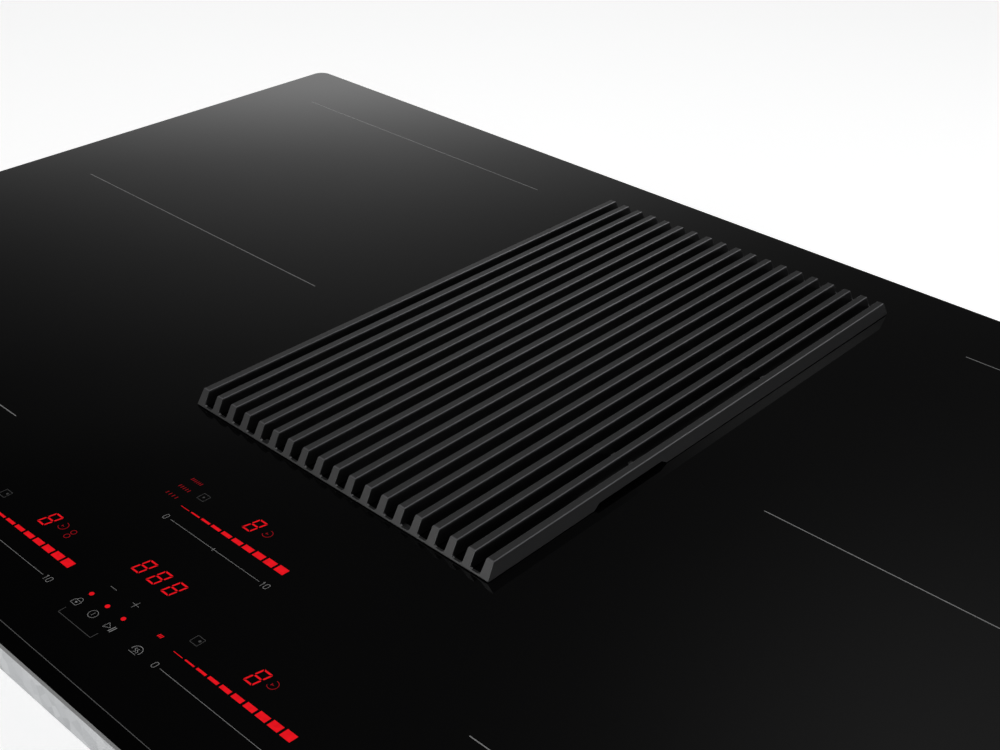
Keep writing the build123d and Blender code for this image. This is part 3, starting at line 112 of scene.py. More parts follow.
camera = place_camera()
print("camera at", [round(v, 3) for v in camera.matrix_world.translation], "lens", CAMERA_LENS, "mm")

# %% [markdown]
# ## Node helpers
# Every finish below is a small net of shader nodes. Typing out each node and link would hide what
# matters, so small helpers add a node, link two sockets, do one step of arithmetic, take a direction
# apart, and start a material with its main shader. A number that holds all over a surface is written
# on the shader's own socket.

# %% Helpers for shader nodes


def add_node(tree, kind, **settings):
    node = tree.nodes.new(kind)
    for key, value in settings.items():
        setattr(node, key, value)
    return node


def link(tree, source, target):
    tree.links.new(source, target)


def calc(tree, operation, *values):
    # One step of arithmetic. Each value is a plain number, or a socket that gives one.
    node = add_node(tree, "ShaderNodeMath", operation=operation)
    for socket, value in zip(node.inputs, values):
        if isinstance(value, (int, float)):
            socket.default_value = value
        else:
            link(tree, value, socket)
    return node.outputs["Value"]


def axes(tree, vector):
    node = add_node(tree, "ShaderNodeSeparateXYZ")
    link(tree, vector, node.inputs["Vector"])
    return node.outputs


def start_material(name):
    material = bpy.data.materials.new(name)
    material.use_nodes = True
    tree = material.node_tree
    tree.nodes.clear()
    out = add_node(tree, "ShaderNodeOutputMaterial")
    shader = add_node(tree, "ShaderNodeBsdfPrincipled")
    link(tree, shader.outputs["BSDF"], out.inputs["Surface"])
    return material, tree, shader


print("node helpers ready")

# %% [markdown]
# ## Surface helpers
# Most finishes come from the same few steps: noise that is fixed to the object, a range that turns
# one value into another, a mix of two tones, and a bump. Noise could also follow the world, but then
# it would swim over a piece that its joint moves, so it is fixed to the object.

# %% Helpers for surfaces


def object_noise(tree, scale, detail=2, stretch=(1, 1, 1), roughness=0.5):
    place = add_node(tree, "ShaderNodeTexCoord")
    mapping = add_node(tree, "ShaderNodeMapping")
    mapping.inputs["Scale"].default_value = stretch
    noise = add_node(tree, "ShaderNodeTexNoise")
    noise.inputs["Scale"].default_value = scale
    noise.inputs["Detail"].default_value = detail
    noise.inputs["Roughness"].default_value = roughness
    link(tree, place.outputs["Object"], mapping.inputs["Vector"])
    link(tree, mapping.outputs["Vector"], noise.inputs["Vector"])
    return noise.outputs["Fac"]


def remap(tree, value, low_out, high_out, low_in=0.3, high_in=0.7):
    ranged = add_node(tree, "ShaderNodeMapRange")
    ranged.inputs["From Min"].default_value = low_in
    ranged.inputs["From Max"].default_value = high_in
    ranged.inputs["To Min"].default_value = low_out
    ranged.inputs["To Max"].default_value = high_out
    link(tree, value, ranged.inputs["Value"])
    return ranged.outputs["Result"]


def two_tones(tree, value, first, second):
    # Each tone is a plain colour, or a socket that gives one.
    mix = add_node(tree, "ShaderNodeMix", data_type="RGBA")
    for key, tone in (("A", first), ("B", second)):
        if isinstance(tone, tuple):
            mix.inputs[key].default_value = (*tone, 1)
        else:
            link(tree, tone, mix.inputs[key])
    link(tree, value, mix.inputs["Factor"])
    return mix.outputs["Result"]


def bumped(tree, value, shader, strength, distance):
    bump = add_node(tree, "ShaderNodeBump")
    bump.inputs["Strength"].default_value = strength
    bump.inputs["Distance"].default_value = distance
    link(tree, value, bump.inputs["Height"])
    link(tree, bump.outputs["Normal"], shader.inputs["Normal"])


def shade(colour, factor):
    return tuple(min(1.0, channel * factor) for channel in colour)


print("surface helpers ready")

# %% [markdown]
# ## Black glass
# The plate is glass-ceramic coloured black through its depth, polished on top and on the bevel along
# its front, and ground on its upright edges. A plain black mirror would be too clean: real glass has
# a faint film that lifts the roughness here and there. The ground edges are found by their normals,
# which lie nearly level. The bevel's normals lean only a little, so the mesh tells where it starts,
# and a hair-wide pale grey line is painted there: a painted highlight of the light the edge catches.

# %% Black glass
BEVEL_UP = (0.95, 0.999)
BEVEL_FRONT = -0.05
ARRIS_HALF = 0.13
GLASS_POLISHED = (0.0012, 0.0012, 0.0013)
GLASS_GROUND = (0.011, 0.0115, 0.012)
# Pale grey painted as a highlight along the line where the bevel starts.
ARRIS_HIGHLIGHT_GREY = (0.12, 0.12, 0.12)
GROUND_DULLING = 0.22


def bevel_start():
    # The bevel's faces look up but lean a little to the front. Their back edge is where it starts.
    plate = frame["nodes"]["glass_plate"]
    rows = [
        plate.data.vertices[corner].co.y
        for face in plate.data.polygons
        if BEVEL_UP[0] < face.normal.z < BEVEL_UP[1] and face.normal.y < BEVEL_FRONT
        for corner in face.vertices
    ]
    return max(rows)


def make_black_glass():
    material, tree, shader = start_material("black_glass")
    shader.inputs["IOR"].default_value = 1.5
    geometry = add_node(tree, "ShaderNodeNewGeometry")
    upright = calc(tree, "ABSOLUTE", axes(tree, geometry.outputs["Normal"])["Z"])
    ground = remap(tree, upright, 1, 0, low_in=0.85, high_in=0.95)
    place = add_node(tree, "ShaderNodeTexCoord")
    row = axes(tree, place.outputs["Object"])["Y"]
    # A hair-wide strip where the bevel starts, painted pale as a highlight.
    arris_highlight = calc(tree, "COMPARE", row, bevel_start(), ARRIS_HALF * MM)
    dark = two_tones(tree, ground, GLASS_POLISHED, GLASS_GROUND)
    link(tree, two_tones(tree, arris_highlight, dark, ARRIS_HIGHLIGHT_GREY), shader.inputs["Base Color"])
    film = remap(tree, object_noise(tree, 9, detail=3), 0.045, 0.075)
    dulled = calc(tree, "MULTIPLY_ADD", ground, GROUND_DULLING, film)
    link(tree, dulled, shader.inputs["Roughness"])
    return material


finishes = {"black_glass": make_black_glass()}
print("finish: black glass, its bevel starts at y", round(bevel_start() / MM, 1), "mm")

# %% [markdown]
# ## Painted, moulded and soft finishes
# Powder coat, moulded plastic, rubber and foam all scatter light from a fine uneven skin. One maker
# covers them: a colour that drifts slightly, a roughness that varies with it, and a fine bump. What
# sets them apart is the size of the grain in grains per metre, how deep it is, and how dull.

# %% Painted, moulded and soft finishes


def make_grained(name, colour, roughness, grain, depth, drift, gloss):
    material, tree, shader = start_material(name)
    shader.inputs["Specular IOR Level"].default_value = gloss
    broad = object_noise(tree, 14, detail=3)
    fine = object_noise(tree, grain, detail=2)
    tone = two_tones(tree, broad, shade(colour, 1 - drift), shade(colour, 1 + drift))
    link(tree, tone, shader.inputs["Base Color"])
    link(tree, remap(tree, fine, roughness - 0.04, roughness + 0.04), shader.inputs["Roughness"])
    bumped(tree, fine, shader, strength=0.25, distance=depth)
    return material


# For each finish: colour, roughness, grain, depth of the bump, drift of the colour, and gloss.
GRAINED = {
    "seal_foam": ((0.020, 0.020, 0.021), 0.85, 1500, 0.0003, 0.2, 0.3),
    "trim_black": ((0.012, 0.012, 0.013), 0.42, 3200, 0.00003, 0.1, 0.45),
    "foot_rubber": ((0.015, 0.015, 0.016), 0.70, 2500, 0.00005, 0.1, 0.4),
    "handle_black": ((0.018, 0.018, 0.019), 0.38, 3000, 0.00003, 0.1, 0.5),
    "tray_plastic": ((0.045, 0.046, 0.049), 0.36, 2400, 0.00004, 0.08, 0.5),
    "duct_plastic": ((0.030, 0.031, 0.033), 0.44, 1900, 0.00006, 0.1, 0.5),
    "sensor_white": ((0.72, 0.71, 0.68), 0.35, 1800, 0.00002, 0.05, 0.5),
    "component_black": ((0.020, 0.021, 0.024), 0.26, 1500, 0.00002, 0.15, 0.5),
    "carrier_black": ((0.014, 0.014, 0.015), 0.48, 2600, 0.00004, 0.1, 0.5),
    "display_dark": ((0.030, 0.008, 0.008), 0.12, 900, 0.00001, 0.1, 0.5),
    "terminal_plastic": ((0.060, 0.061, 0.064), 0.42, 2200, 0.00004, 0.06, 0.5),
    "gland_nylon": ((0.022, 0.022, 0.024), 0.34, 2600, 0.00002, 0.08, 0.5),
    "wheel_plastic": ((0.042, 0.043, 0.046), 0.40, 2200, 0.00004, 0.08, 0.5),
    "isolator_rubber": ((0.016, 0.016, 0.017), 0.75, 2300, 0.00006, 0.12, 0.4),
    "former_plastic": ((0.62, 0.60, 0.54), 0.50, 1700, 0.00004, 0.05, 0.5),
    "fan_black": ((0.016, 0.016, 0.018), 0.36, 2600, 0.00003, 0.1, 0.5),
    "ferrite": ((0.050, 0.050, 0.054), 0.62, 1300, 0.00006, 0.15, 0.4),
}
for name, recipe in GRAINED.items():
    finishes[name] = make_grained(name, *recipe)
print("finishes:", len(GRAINED), "grained ones")

# %% [markdown]
# ## Coated casting
# The slatted grille is cast metal under a thin black coat. Its edges are painted paler, as bare metal,
# to stand in for the thin highlights that light from the right draws along them: a painted highlight,
# which also catches more of the lamps' light than the flat faces. The bevels round the top are the only
# faces whose normals lie half way between level and upright, so the height of the normal picks them out.
# The other edges are too fine to model: a bevel node rounds the normal there in the shader, and where
# its normal leaves the face's own, the painted highlight is laid on. Only edges that turn to the right
# get it.

# %% Coated casting
EDGE_ROUND = 0.13
COAT_BLACK = (0.0085, 0.0085, 0.009)
# Pale metal painted on the top bevels and the right-turned edges: a painted highlight.
EDGE_HIGHLIGHT_METAL = (0.26, 0.26, 0.27)


# Painted highlight: a mask of the fine edges that turn to the right, toward the light.
def right_edge_highlight(tree, face_normal):
    rounded = add_node(tree, "ShaderNodeBevel", samples=4)
    rounded.inputs["Radius"].default_value = EDGE_ROUND * MM
    agree = add_node(tree, "ShaderNodeVectorMath", operation="DOT_PRODUCT")
    link(tree, rounded.outputs["Normal"], agree.inputs[0])
    link(tree, face_normal, agree.inputs[1])
    on_edge = remap(tree, agree.outputs["Value"], 1, 0, low_in=0.90, high_in=0.97)
    right = axes(tree, rounded.outputs["Normal"])["X"]
    to_right = remap(tree, right, 0, 1, low_in=0.3, high_in=0.5)
    return calc(tree, "MULTIPLY", on_edge, to_right)


def make_grille_coat():
    material, tree, shader = start_material("grille_coat")
    normal = add_node(tree, "ShaderNodeNewGeometry").outputs["Normal"]
    height = axes(tree, normal)["Z"]
    not_upright = remap(tree, height, 0, 1, low_in=0.56, high_in=0.66)
    not_level = remap(tree, height, 1, 0, low_in=0.78, high_in=0.95)
    bevel = calc(tree, "MULTIPLY", not_upright, not_level)
    # The bevels and the right-turned edges both take the painted highlight.
    painted_highlight = calc(tree, "MAXIMUM", bevel, right_edge_highlight(tree, normal))
    link(tree, two_tones(tree, painted_highlight, COAT_BLACK, EDGE_HIGHLIGHT_METAL), shader.inputs["Base Color"])
    metal = remap(tree, painted_highlight, 0, 0.85, low_in=0, high_in=1)
    link(tree, metal, shader.inputs["Metallic"])
    shader.inputs["Specular IOR Level"].default_value = 0.8
    fine = object_noise(tree, 2600, detail=2)
    link(tree, remap(tree, fine, 0.31, 0.38), shader.inputs["Roughness"])
    bumped(tree, fine, shader, strength=0.25, distance=0.00003)
    return material


finishes["grille_coat"] = make_grille_coat()
print("finish: coated casting")

# %% [markdown]
# ## Bare metal
# Rolled and brushed sheet carries fine lines in one direction. Noise that is stretched far along one
# axis gives those lines, and it drives the roughness, so that a highlight breaks up along them. Cast
# and turned pieces have a rounder grain, which is the same noise with no stretch.

# %% Bare metal


def make_metal(name, colour, roughness, stretch, grain, depth):
    material, tree, shader = start_material(name)
    shader.inputs["Metallic"].default_value = 1
    lines = object_noise(tree, grain, detail=3, stretch=stretch)
    broad = object_noise(tree, 11, detail=2)
    tone = two_tones(tree, broad, shade(colour, 0.9), shade(colour, 1.06))
    link(tree, tone, shader.inputs["Base Color"])
    link(tree, remap(tree, lines, roughness - 0.08, roughness + 0.1), shader.inputs["Roughness"])
    bumped(tree, lines, shader, strength=0.2, distance=depth)
    return material


# For each metal: colour, roughness, how the lines stretch along X, Y and Z, grain, and depth.
METALS = {
    "stainless": ((0.52, 0.52, 0.53), 0.30, (0.04, 1, 1), 1400, 0.00002),
    "filter_aluminium": ((0.62, 0.62, 0.64), 0.36, (1, 0.3, 1), 1600, 0.00006),
    "motor_steel": ((0.42, 0.42, 0.43), 0.30, (1, 1, 0.1), 1500, 0.00002),
    "motor_alloy": ((0.46, 0.46, 0.48), 0.46, (1, 1, 1), 900, 0.00006),
    "stator_copper": ((0.50, 0.24, 0.12), 0.34, (1, 1, 0.15), 1800, 0.00006),
    "sheet_aluminium": ((0.58, 0.58, 0.60), 0.34, (0.06, 1, 1), 1300, 0.00002),
}
for name, recipe in METALS.items():
    finishes[name] = make_metal(name, *recipe)
print("finishes:", len(METALS), "bare metals")

# %% [markdown]
# ## Zinc-coated sheet
# Hot-dip galvanised steel shows spangle: flat crystals a few millimetres across, each a slightly
# different grey. Voronoi cells are the same thing in a texture, so their random colour sets both
# the tone and the roughness of each crystal.

# %% Zinc-coated sheet
SPANGLES_PER_METRE = 150
SPANGLE_DARK = (0.40, 0.41, 0.42)
SPANGLE_PALE = (0.50, 0.51, 0.52)


def make_galvanised():
    material, tree, shader = start_material("galvanised")
    shader.inputs["Metallic"].default_value = 1
    place = add_node(tree, "ShaderNodeTexCoord")
    cells = add_node(tree, "ShaderNodeTexVoronoi")
    cells.inputs["Scale"].default_value = SPANGLES_PER_METRE
    link(tree, place.outputs["Object"], cells.inputs["Vector"])
    split = add_node(tree, "ShaderNodeSeparateColor")
    link(tree, cells.outputs["Color"], split.inputs["Color"])
    tone = two_tones(tree, split.outputs["Red"], SPANGLE_DARK, SPANGLE_PALE)
    link(tree, tone, shader.inputs["Base Color"])
    dull = remap(tree, split.outputs["Green"], 0.36, 0.50, low_in=0, high_in=1)
    link(tree, dull, shader.inputs["Roughness"])
    fine = object_noise(tree, 700, detail=2)
    bumped(tree, fine, shader, strength=0.15, distance=0.00003)
    return material


finishes["galvanised"] = make_galvanised()
print("finish: zinc-coated sheet")

# %% [markdown]
# ## Coil wire
# The coils are stranded copper wire laid in turns, so their finish carries ridges round each coil's
# centre. Modelled turns would cost many thousands of faces on pieces that lie under black glass, so
# the rings are the shader's: the distance from the centre, turned into a wave.

# %% Coil wire
WIRE_DARK = (0.16, 0.07, 0.035)
WIRE_PALE = (0.46, 0.20, 0.09)
WIRE_RINGS = 62


def make_litz(name, centre):
    material, tree, shader = start_material("litz_" + name)
    shader.inputs["Metallic"].default_value = 0.6
    place = add_node(tree, "ShaderNodeTexCoord")
    mapping = add_node(tree, "ShaderNodeMapping")
    mapping.inputs["Location"].default_value = (-centre[0], -centre[1], -centre[2])
    rings = add_node(tree, "ShaderNodeTexWave", wave_type="RINGS", rings_direction="Z")
    rings.inputs["Scale"].default_value = WIRE_RINGS
    rings.inputs["Distortion"].default_value = 0.4
    link(tree, place.outputs["Object"], mapping.inputs["Vector"])
    link(tree, mapping.outputs["Vector"], rings.inputs["Vector"])
    tone = two_tones(tree, rings.outputs["Fac"], WIRE_DARK, WIRE_PALE)
    link(tree, tone, shader.inputs["Base Color"])
    link(tree, remap(tree, object_noise(tree, 900), 0.35, 0.5), shader.inputs["Roughness"])
    bumped(tree, rings.outputs["Fac"], shader, strength=0.5, distance=0.0006)
    return material


print("wire finish ready, to be made once per coil")

# %% [markdown]
# ## Mica and circuit boards
# Mica is pressed flake, pale and streaky, so stretched noise sets its tone and its roughness at once.
# A circuit board is green lacquer over copper tracks. Real tracks could be drawn line by line, but
# the boards lie deep in the casing, so a pattern of fine bricks is enough.

# %% Mica and circuit boards
MICA_DARK = (0.50, 0.45, 0.35)
MICA_PALE = (0.72, 0.68, 0.58)


def make_mica():
    material, tree, shader = start_material("mica")
    flakes = object_noise(tree, 420, detail=4, stretch=(1, 0.5, 1))
    link(tree, two_tones(tree, flakes, MICA_DARK, MICA_PALE), shader.inputs["Base Color"])
    link(tree, remap(tree, flakes, 0.35, 0.6), shader.inputs["Roughness"])
    bumped(tree, flakes, shader, strength=0.2, distance=0.00005)
    return material


def make_circuit_board():
    material, tree, shader = start_material("circuit_board")
    place = add_node(tree, "ShaderNodeTexCoord")
    tracks = add_node(tree, "ShaderNodeTexBrick")
    tracks.inputs["Scale"].default_value = 90
    tracks.inputs["Mortar Size"].default_value = 0.03
    tracks.inputs["Color1"].default_value = (0.010, 0.070, 0.030, 1)
    tracks.inputs["Color2"].default_value = (0.012, 0.090, 0.038, 1)
    tracks.inputs["Mortar"].default_value = (0.05, 0.14, 0.06, 1)
    link(tree, place.outputs["Object"], tracks.inputs["Vector"])
    link(tree, tracks.outputs["Color"], shader.inputs["Base Color"])
    link(tree, remap(tree, object_noise(tree, 600), 0.25, 0.4), shader.inputs["Roughness"])
    return material


finishes["mica"] = make_mica()
finishes["circuit_board"] = make_circuit_board()
print("finishes: mica and circuit board")

# %% [markdown]
# ## Finish on every solid
# The record says which slot each solid takes its finish from, so one loop dresses them all. A coil
# gets wire rings of its own, centred on it.

# %% Finish on every solid
slots = {part["node"]: part["material_slot"] for part in frame["record"]["subparts"]}


def box_centre(node):
    low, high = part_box(node)
    return [(a + b) / 2 for a, b in zip(low, high)]


for node, solid in frame["nodes"].items():
    slot = slots[node]
    material = make_litz(node, box_centre(node)) if slot == "litz_copper" else finishes[slot]
    solid.data.materials.clear()
    solid.data.materials.append(material)
print(len(frame["nodes"]), "solids dressed")

# %% [markdown]
# ## Ink and light
# The lines and symbols are grey ceramic ink fired into the glass, and the digits are red lamps
# shining through it. Both lie within a few hundredths of a millimetre of the polished face. The ink
# is as glossy as the glass, so it mirrors the studio too and always looks a little paler than the
# glass beside it. A lamp gives its own light, a little uneven where the diffuser is thin.

# %% Ink and light


def make_ink(name, tone):
    material, tree, shader = start_material(name)
    speckle = object_noise(tree, 2500, detail=1)
    grey = (tone, tone, tone)
    colour = two_tones(tree, speckle, shade(grey, 0.93), shade(grey, 1.07))
    link(tree, colour, shader.inputs["Base Color"])
    link(tree, remap(tree, speckle, 0.055, 0.085), shader.inputs["Roughness"])
    return material


def make_lamp(name, colour, strength):
    material, tree, shader = start_material(name)
    shader.inputs["Base Color"].default_value = (0.02, 0.001, 0.001, 1)
    shader.inputs["Roughness"].default_value = 0.06
    glow = remap(tree, object_noise(tree, 500, detail=1), strength * 0.9, strength * 1.1)
    shader.inputs["Emission Color"].default_value = (*colour, 1)
    link(tree, glow, shader.inputs["Emission Strength"])
    return material


ink_line = make_ink("ink_line", 0.26)
ink_bright = make_ink("ink_bright", 0.31)
ink_faint = make_ink("ink_faint", 0.075)
lamp_bright = make_lamp("lamp_bright", (1.0, 0.008, 0.016), 0.74)
lamp_dim = make_lamp("lamp_dim", (0.8, 0.010, 0.025), 0.42)
print("ink and lamps ready")

# %% [markdown]
# ## Outlines of flat marks
# A mark is a set of flat outlines in millimetres on the glass. Fonts and curves could draw them, but
# plain polygons keep each stroke's width exact. A stroke is a thin quadrilateral along a line, a
# loop is a stroke along each side of a closed outline, and an arc is a run of short pieces of a ring.

# %% Outlines of flat marks


def stroke(start, end, width):
    a, b = Vector(start), Vector(end)
    along = (b - a).normalized()
    side = Vector((-along.y, along.x)) * width / 2
    return [a - side, b - side, b + side, a + side]


def loop(corners, width):
    following = corners[1:] + corners[:1]
    return [stroke(start, end, width) for start, end in zip(corners, following)]


def on_ring(centre, radius, turns):
    x, y = centre
    return [Vector((x + radius * math.cos(t), y + radius * math.sin(t))) for t in turns]


def arc(centre, radius, from_deg, to_deg, width, steps=16):
    degrees = [from_deg + (to_deg - from_deg) * i / steps for i in range(steps + 1)]
    turns = [math.radians(turn) for turn in degrees]
    outer = on_ring(centre, radius + width / 2, turns)
    inner = on_ring(centre, radius - width / 2, turns)
    return [[outer[i], outer[i + 1], inner[i + 1], inner[i]] for i in range(steps)]


def disc(centre, radius, steps=20):
    return on_ring(centre, radius, [2 * math.pi * i / steps for i in range(steps)])


print("a disc has", len(disc((0, 0), 1)), "corners")

# %% [markdown]
# ## Putting a mark on the glass
# The real marks have no thickness of their own: they are fired into the glass or shine through it.
# They could be part of the glass's finish, but that would take a large net of nodes. A flat mesh a
# hair above the glass is simple, stays sharp from near by, and takes a finish of its own.

# %% Putting a mark on the glass
MARK_LIFT = 0.02


def put_mark(name, outlines, material):
    mesh = bpy.data.meshes.new(name)
    build = bmesh.new()
    level = GLASS_TOP / MM + MARK_LIFT
    for outline in outlines:
        corners = [build.verts.new((p[0] * MM, p[1] * MM, level * MM)) for p in outline]
        build.faces.new(corners)
    bmesh.ops.recalc_face_normals(build, faces=build.faces)
    for face in build.faces:
        if face.normal.z < 0:
            face.normal_flip()
    build.to_mesh(mesh)
    build.free()
    mesh.materials.append(material)
    mark = bpy.data.objects.new(name, mesh)
    bpy.context.scene.collection.objects.link(mark)
    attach(mark, "root")


print("marks lie", MARK_LIFT, "mm above the glass")

# %% [markdown]
# ## Zone lines
# Each side of the glass is a cooking zone, marked by three fine lines: at its back, its middle and
# its front. They are the same on the left and the right, so one loop draws six strokes.

# %% Zone lines
ZONE_INNER = 150
ZONE_OUTER = 370.5
ZONE_ROWS = (208.1, 19.9, -168.1)
ZONE_LINE = 0.5
zone_strokes = []
for row in ZONE_ROWS:
    for side in (-1, 1):
        start, end = (side * ZONE_INNER, row), (side * ZONE_OUTER, row)
        zone_strokes.append(stroke(start, end, ZONE_LINE))
put_mark("zone_lines", zone_strokes, ink_line)
print(len(zone_strokes), "zone lines")

# %% [markdown]
# ## One lit digit
# A digit is seven straight segments, leaning a little to the right. The outer six have mitred ends
# that meet in sharp corners, and the middle one is pointed at both ends. A font would give round or
# square ends, so each segment is an outline of its own, worked out upright and then slanted.

# %% One lit digit
SEGMENT_WIDTH = 0.8
SEGMENT_GAP = 0.32
DIGIT_WIDTH = 5.3
DIGIT_HEIGHT = 9.2
DIGIT_LEAN = 1.85


def lit_digit(left, bottom):
    right, top = left + DIGIT_WIDTH, bottom + DIGIT_HEIGHT
    middle = (bottom + top) / 2
    half = SEGMENT_WIDTH / 2
    gap = SEGMENT_GAP

    def slanted(corners):
        return [Vector((x + DIGIT_LEAN * (y - bottom) / DIGIT_HEIGHT, y)) for x, y in corners]

    def level_side(outer, inner):
        # A top or bottom segment: long outside, shorter inside by its own width at each end.
        step = SEGMENT_WIDTH + gap
        return slanted([
            (left + gap, outer),
            (right - gap, outer),
            (right - step, inner),
            (left + step, inner),
        ])

    def upright_side(outer, inner, end, waist):
        # A side segment: mitred where it meets the top or bottom, pointed at the waist.
        turn = 1 if end > waist else -1
        return slanted([
            (outer, end - turn * gap),
            (inner, end - turn * (SEGMENT_WIDTH + gap)),
            (inner, waist + turn * (half + gap)),
            ((outer + inner) / 2, waist + turn * gap),
            (outer, waist + turn * (half + gap)),
        ])

    segments = [
        level_side(top, top - SEGMENT_WIDTH),
        level_side(bottom, bottom + SEGMENT_WIDTH),
        slanted([
            (left + half + gap, middle),
            (left + SEGMENT_WIDTH + gap, middle - half),
            (right - SEGMENT_WIDTH - gap, middle - half),
            (right - half - gap, middle),
            (right - SEGMENT_WIDTH - gap, middle + half),
            (left + SEGMENT_WIDTH + gap, middle + half),
        ]),
    ]
    for outer, inner in ((left, left + SEGMENT_WIDTH), (right, right - SEGMENT_WIDTH)):
        for end in (bottom, top):
            segments.append(upright_side(outer, inner, end, middle))
    return segments


print("a digit has", len(lit_digit(0, 0)), "segments")

# %% [markdown]
# ## Lit digits
# An eight lights every segment, which is how a display looks when it starts up. The extractor and the
# two zones have one digit each, and the timer has three. All of them are the same size, so a table
# of their places is enough.

# %% Lit digits
DIGITS = {
    "extractor_digit": [(-5.1, -147.8)],
    "timer_digits": [(-15.7, -197.0), (-5.4, -197.0), (4.7, -197.0)],
    "left_zone_digit": [(-71.2, -206.1)],
    "right_zone_digit": [(68.8, -206.1)],
}
for name, places in DIGITS.items():
    outlines = [outline for place in places for outline in lit_digit(*place)]
    put_mark(name, outlines, lamp_bright)
print(sum(len(p) for p in DIGITS.values()), "digits lit")

# %% [markdown]
# ## Power bars
# Over each slider lies a row of ten bars that grow from a hair to a few millimetres, so their height
# tells the level. Each could be placed by hand, but the bars keep one pitch and one width and only
# the height steps up, so one loop makes a row.

# %% Power bars
BAR_COUNT = 10
BAR_PITCH = 6.95
BAR_WIDTH = 5.6
BAR_LOW = 0.3
BAR_HIGH = 4.05
BAR_LEAN = 0.15


def bar_row(left, bottom):
    bars = []
    for i in range(BAR_COUNT):
        height = BAR_LOW + (BAR_HIGH - BAR_LOW) * i / (BAR_COUNT - 1)
        x = left + i * BAR_PITCH
        lean = BAR_LEAN * height / BAR_HIGH
        bars.append([
            Vector((x, bottom)),
            Vector((x + BAR_WIDTH, bottom)),
            Vector((x + BAR_WIDTH + lean, bottom + height)),
            Vector((x + lean, bottom + height)),
        ])
    return bars


BAR_PLACES = {
    "extractor": (-35.6, -156.7),
    "left_zone": (-102.1, -214.9),
    "right_zone": (38.1, -214.9),
}
for name, place in BAR_PLACES.items():
    put_mark(name + "_bars", bar_row(*place), lamp_bright)
print(BAR_COUNT * len(BAR_PLACES), "bars")

# %% [markdown]
# ## Sliders
# A slider is one printed line with a nought at its low end and a ten at its high end. A font could
# write the numbers, but only two shapes are needed: an oval and an upright with a short flag. They
# come from the same strokes and arcs as the rest, so their lines have the same even width.

# %% Sliders
NUMBER_HEIGHT = 3.2
NUMBER_LEAN = 0.12
NUMBER_LINE = 0.22
NOUGHT_ROUND = 0.27


def nought(x, y):
    # Two half rounds of an upright oval, joined by straight leaning sides.
    r = NUMBER_HEIGHT * NOUGHT_ROUND
    rise = NUMBER_HEIGHT / 2 - r
    top, bottom = (x + NUMBER_LEAN / 2, y + rise), (x - NUMBER_LEAN / 2, y - rise)
    sides = [
        stroke((bottom[0] - r, bottom[1]), (top[0] - r, top[1]), NUMBER_LINE),
        stroke((bottom[0] + r, bottom[1]), (top[0] + r, top[1]), NUMBER_LINE),
    ]
    return sides + arc(top, r, 0, 180, NUMBER_LINE) + arc(bottom, r, 180, 360, NUMBER_LINE)


def one(x, y):
    half = NUMBER_HEIGHT / 2
    tip = (x + NUMBER_LEAN / 2, y + half)
    return [
        stroke((x - NUMBER_LEAN / 2, y - half), tip, NUMBER_LINE),
        stroke(tip, (x - 0.7, y + half - 0.8), NUMBER_LINE),
    ]


SLIDERS = {
    "extractor": (-30.9, -165.7),
    "left_zone": (-97.3, -224.1),
    "right_zone": (42.3, -224.1),
}
SLIDER_LENGTH = 60
SLIDER_LINE = 0.18
NOUGHT_BEFORE = 3.1
ONE_AFTER, NOUGHT_AFTER = 2.2, 4.6
TICK_LINE = 0.3
for name, (x, y) in SLIDERS.items():
    end = x + SLIDER_LENGTH
    put_mark(name + "_slider", [stroke((x, y), (end, y), SLIDER_LINE)], ink_bright)
    numbers = nought(x - NOUGHT_BEFORE, y) + one(end + ONE_AFTER, y) + nought(end + NOUGHT_AFTER, y)
    put_mark(name + "_slider_numbers", numbers, ink_bright)
middle_tick = [stroke((-1.1, -166.6), (-1.1, -164.8), TICK_LINE)]
put_mark("extractor_middle_tick", middle_tick, ink_bright)
print(len(SLIDERS), "sliders")

# %% [markdown]
# ## Key symbols
# The keys are flat areas of glass marked by common symbols: minus and plus, a padlock, the power
# ring, play and pause, and a dome over a plate for keeping food warm. Each is a few strokes and arcs.
# A faint bracket under the padlock, the power ring and play and pause ties the three together.

# %% Key symbols
KEY_LINE = 0.18


def padlock(x, y):
    corners = [(x - 2.1, y - 1.9), (x + 1.6, y - 1.9), (x + 1.9, y + 0.7), (x - 1.8, y + 0.7)]
    shackle = arc((x + 0.2, y + 1.1), 1.3, -15, 195, KEY_LINE)
    return loop(corners, KEY_LINE) + shackle + [disc((x, y - 0.5), 0.45)]


def power_ring(x, y):
    ring = arc((x, y), 2.1, 0, 360, KEY_LINE, steps=28)
    return ring + [stroke((x - 0.1, y - 1), (x + 0.1, y + 1), KEY_LINE)]


PAUSE_LINE = 0.4
PAUSE_LEAN = 0.35


def play_pause(x, y):
    marks = loop([(x - 2.3, y - 1.6), (x + 0.6, y), (x - 1.9, y + 1.7)], KEY_LINE)
    for low in (x + 1.4, x + 2.4):
        marks.append(stroke((low, y - 1.7), (low + PAUSE_LEAN, y + 1.7), PAUSE_LINE))
    return marks


DOME_LINE = 0.25
HEAT_LINE = 0.22
HEAT_ROUND = 0.55


def warm_keeper(x, y):
    # A dome over a plate, with two waves of heat in it.
    marks = arc((x, y), 2.5, -25, 190, DOME_LINE, steps=24)
    marks.append(stroke((x - 2.6, y - 1.9), (x + 1.7, y - 1.9), KEY_LINE))
    for wave in (x - 0.6, x + 0.7):
        marks += arc((wave, y + HEAT_ROUND), HEAT_ROUND, 90, 270, HEAT_LINE, steps=6)
        marks += arc((wave, y - HEAT_ROUND), HEAT_ROUND, -90, 90, HEAT_LINE, steps=6)
    return marks


def minus_plus():
    return [
        stroke((-11.6, -209.1), (-7.4, -209.1), KEY_LINE),
        stroke((3.4, -209.0), (7.4, -209.0), KEY_LINE),
        stroke((5.2, -211.0), (5.6, -207.0), KEY_LINE),
    ]


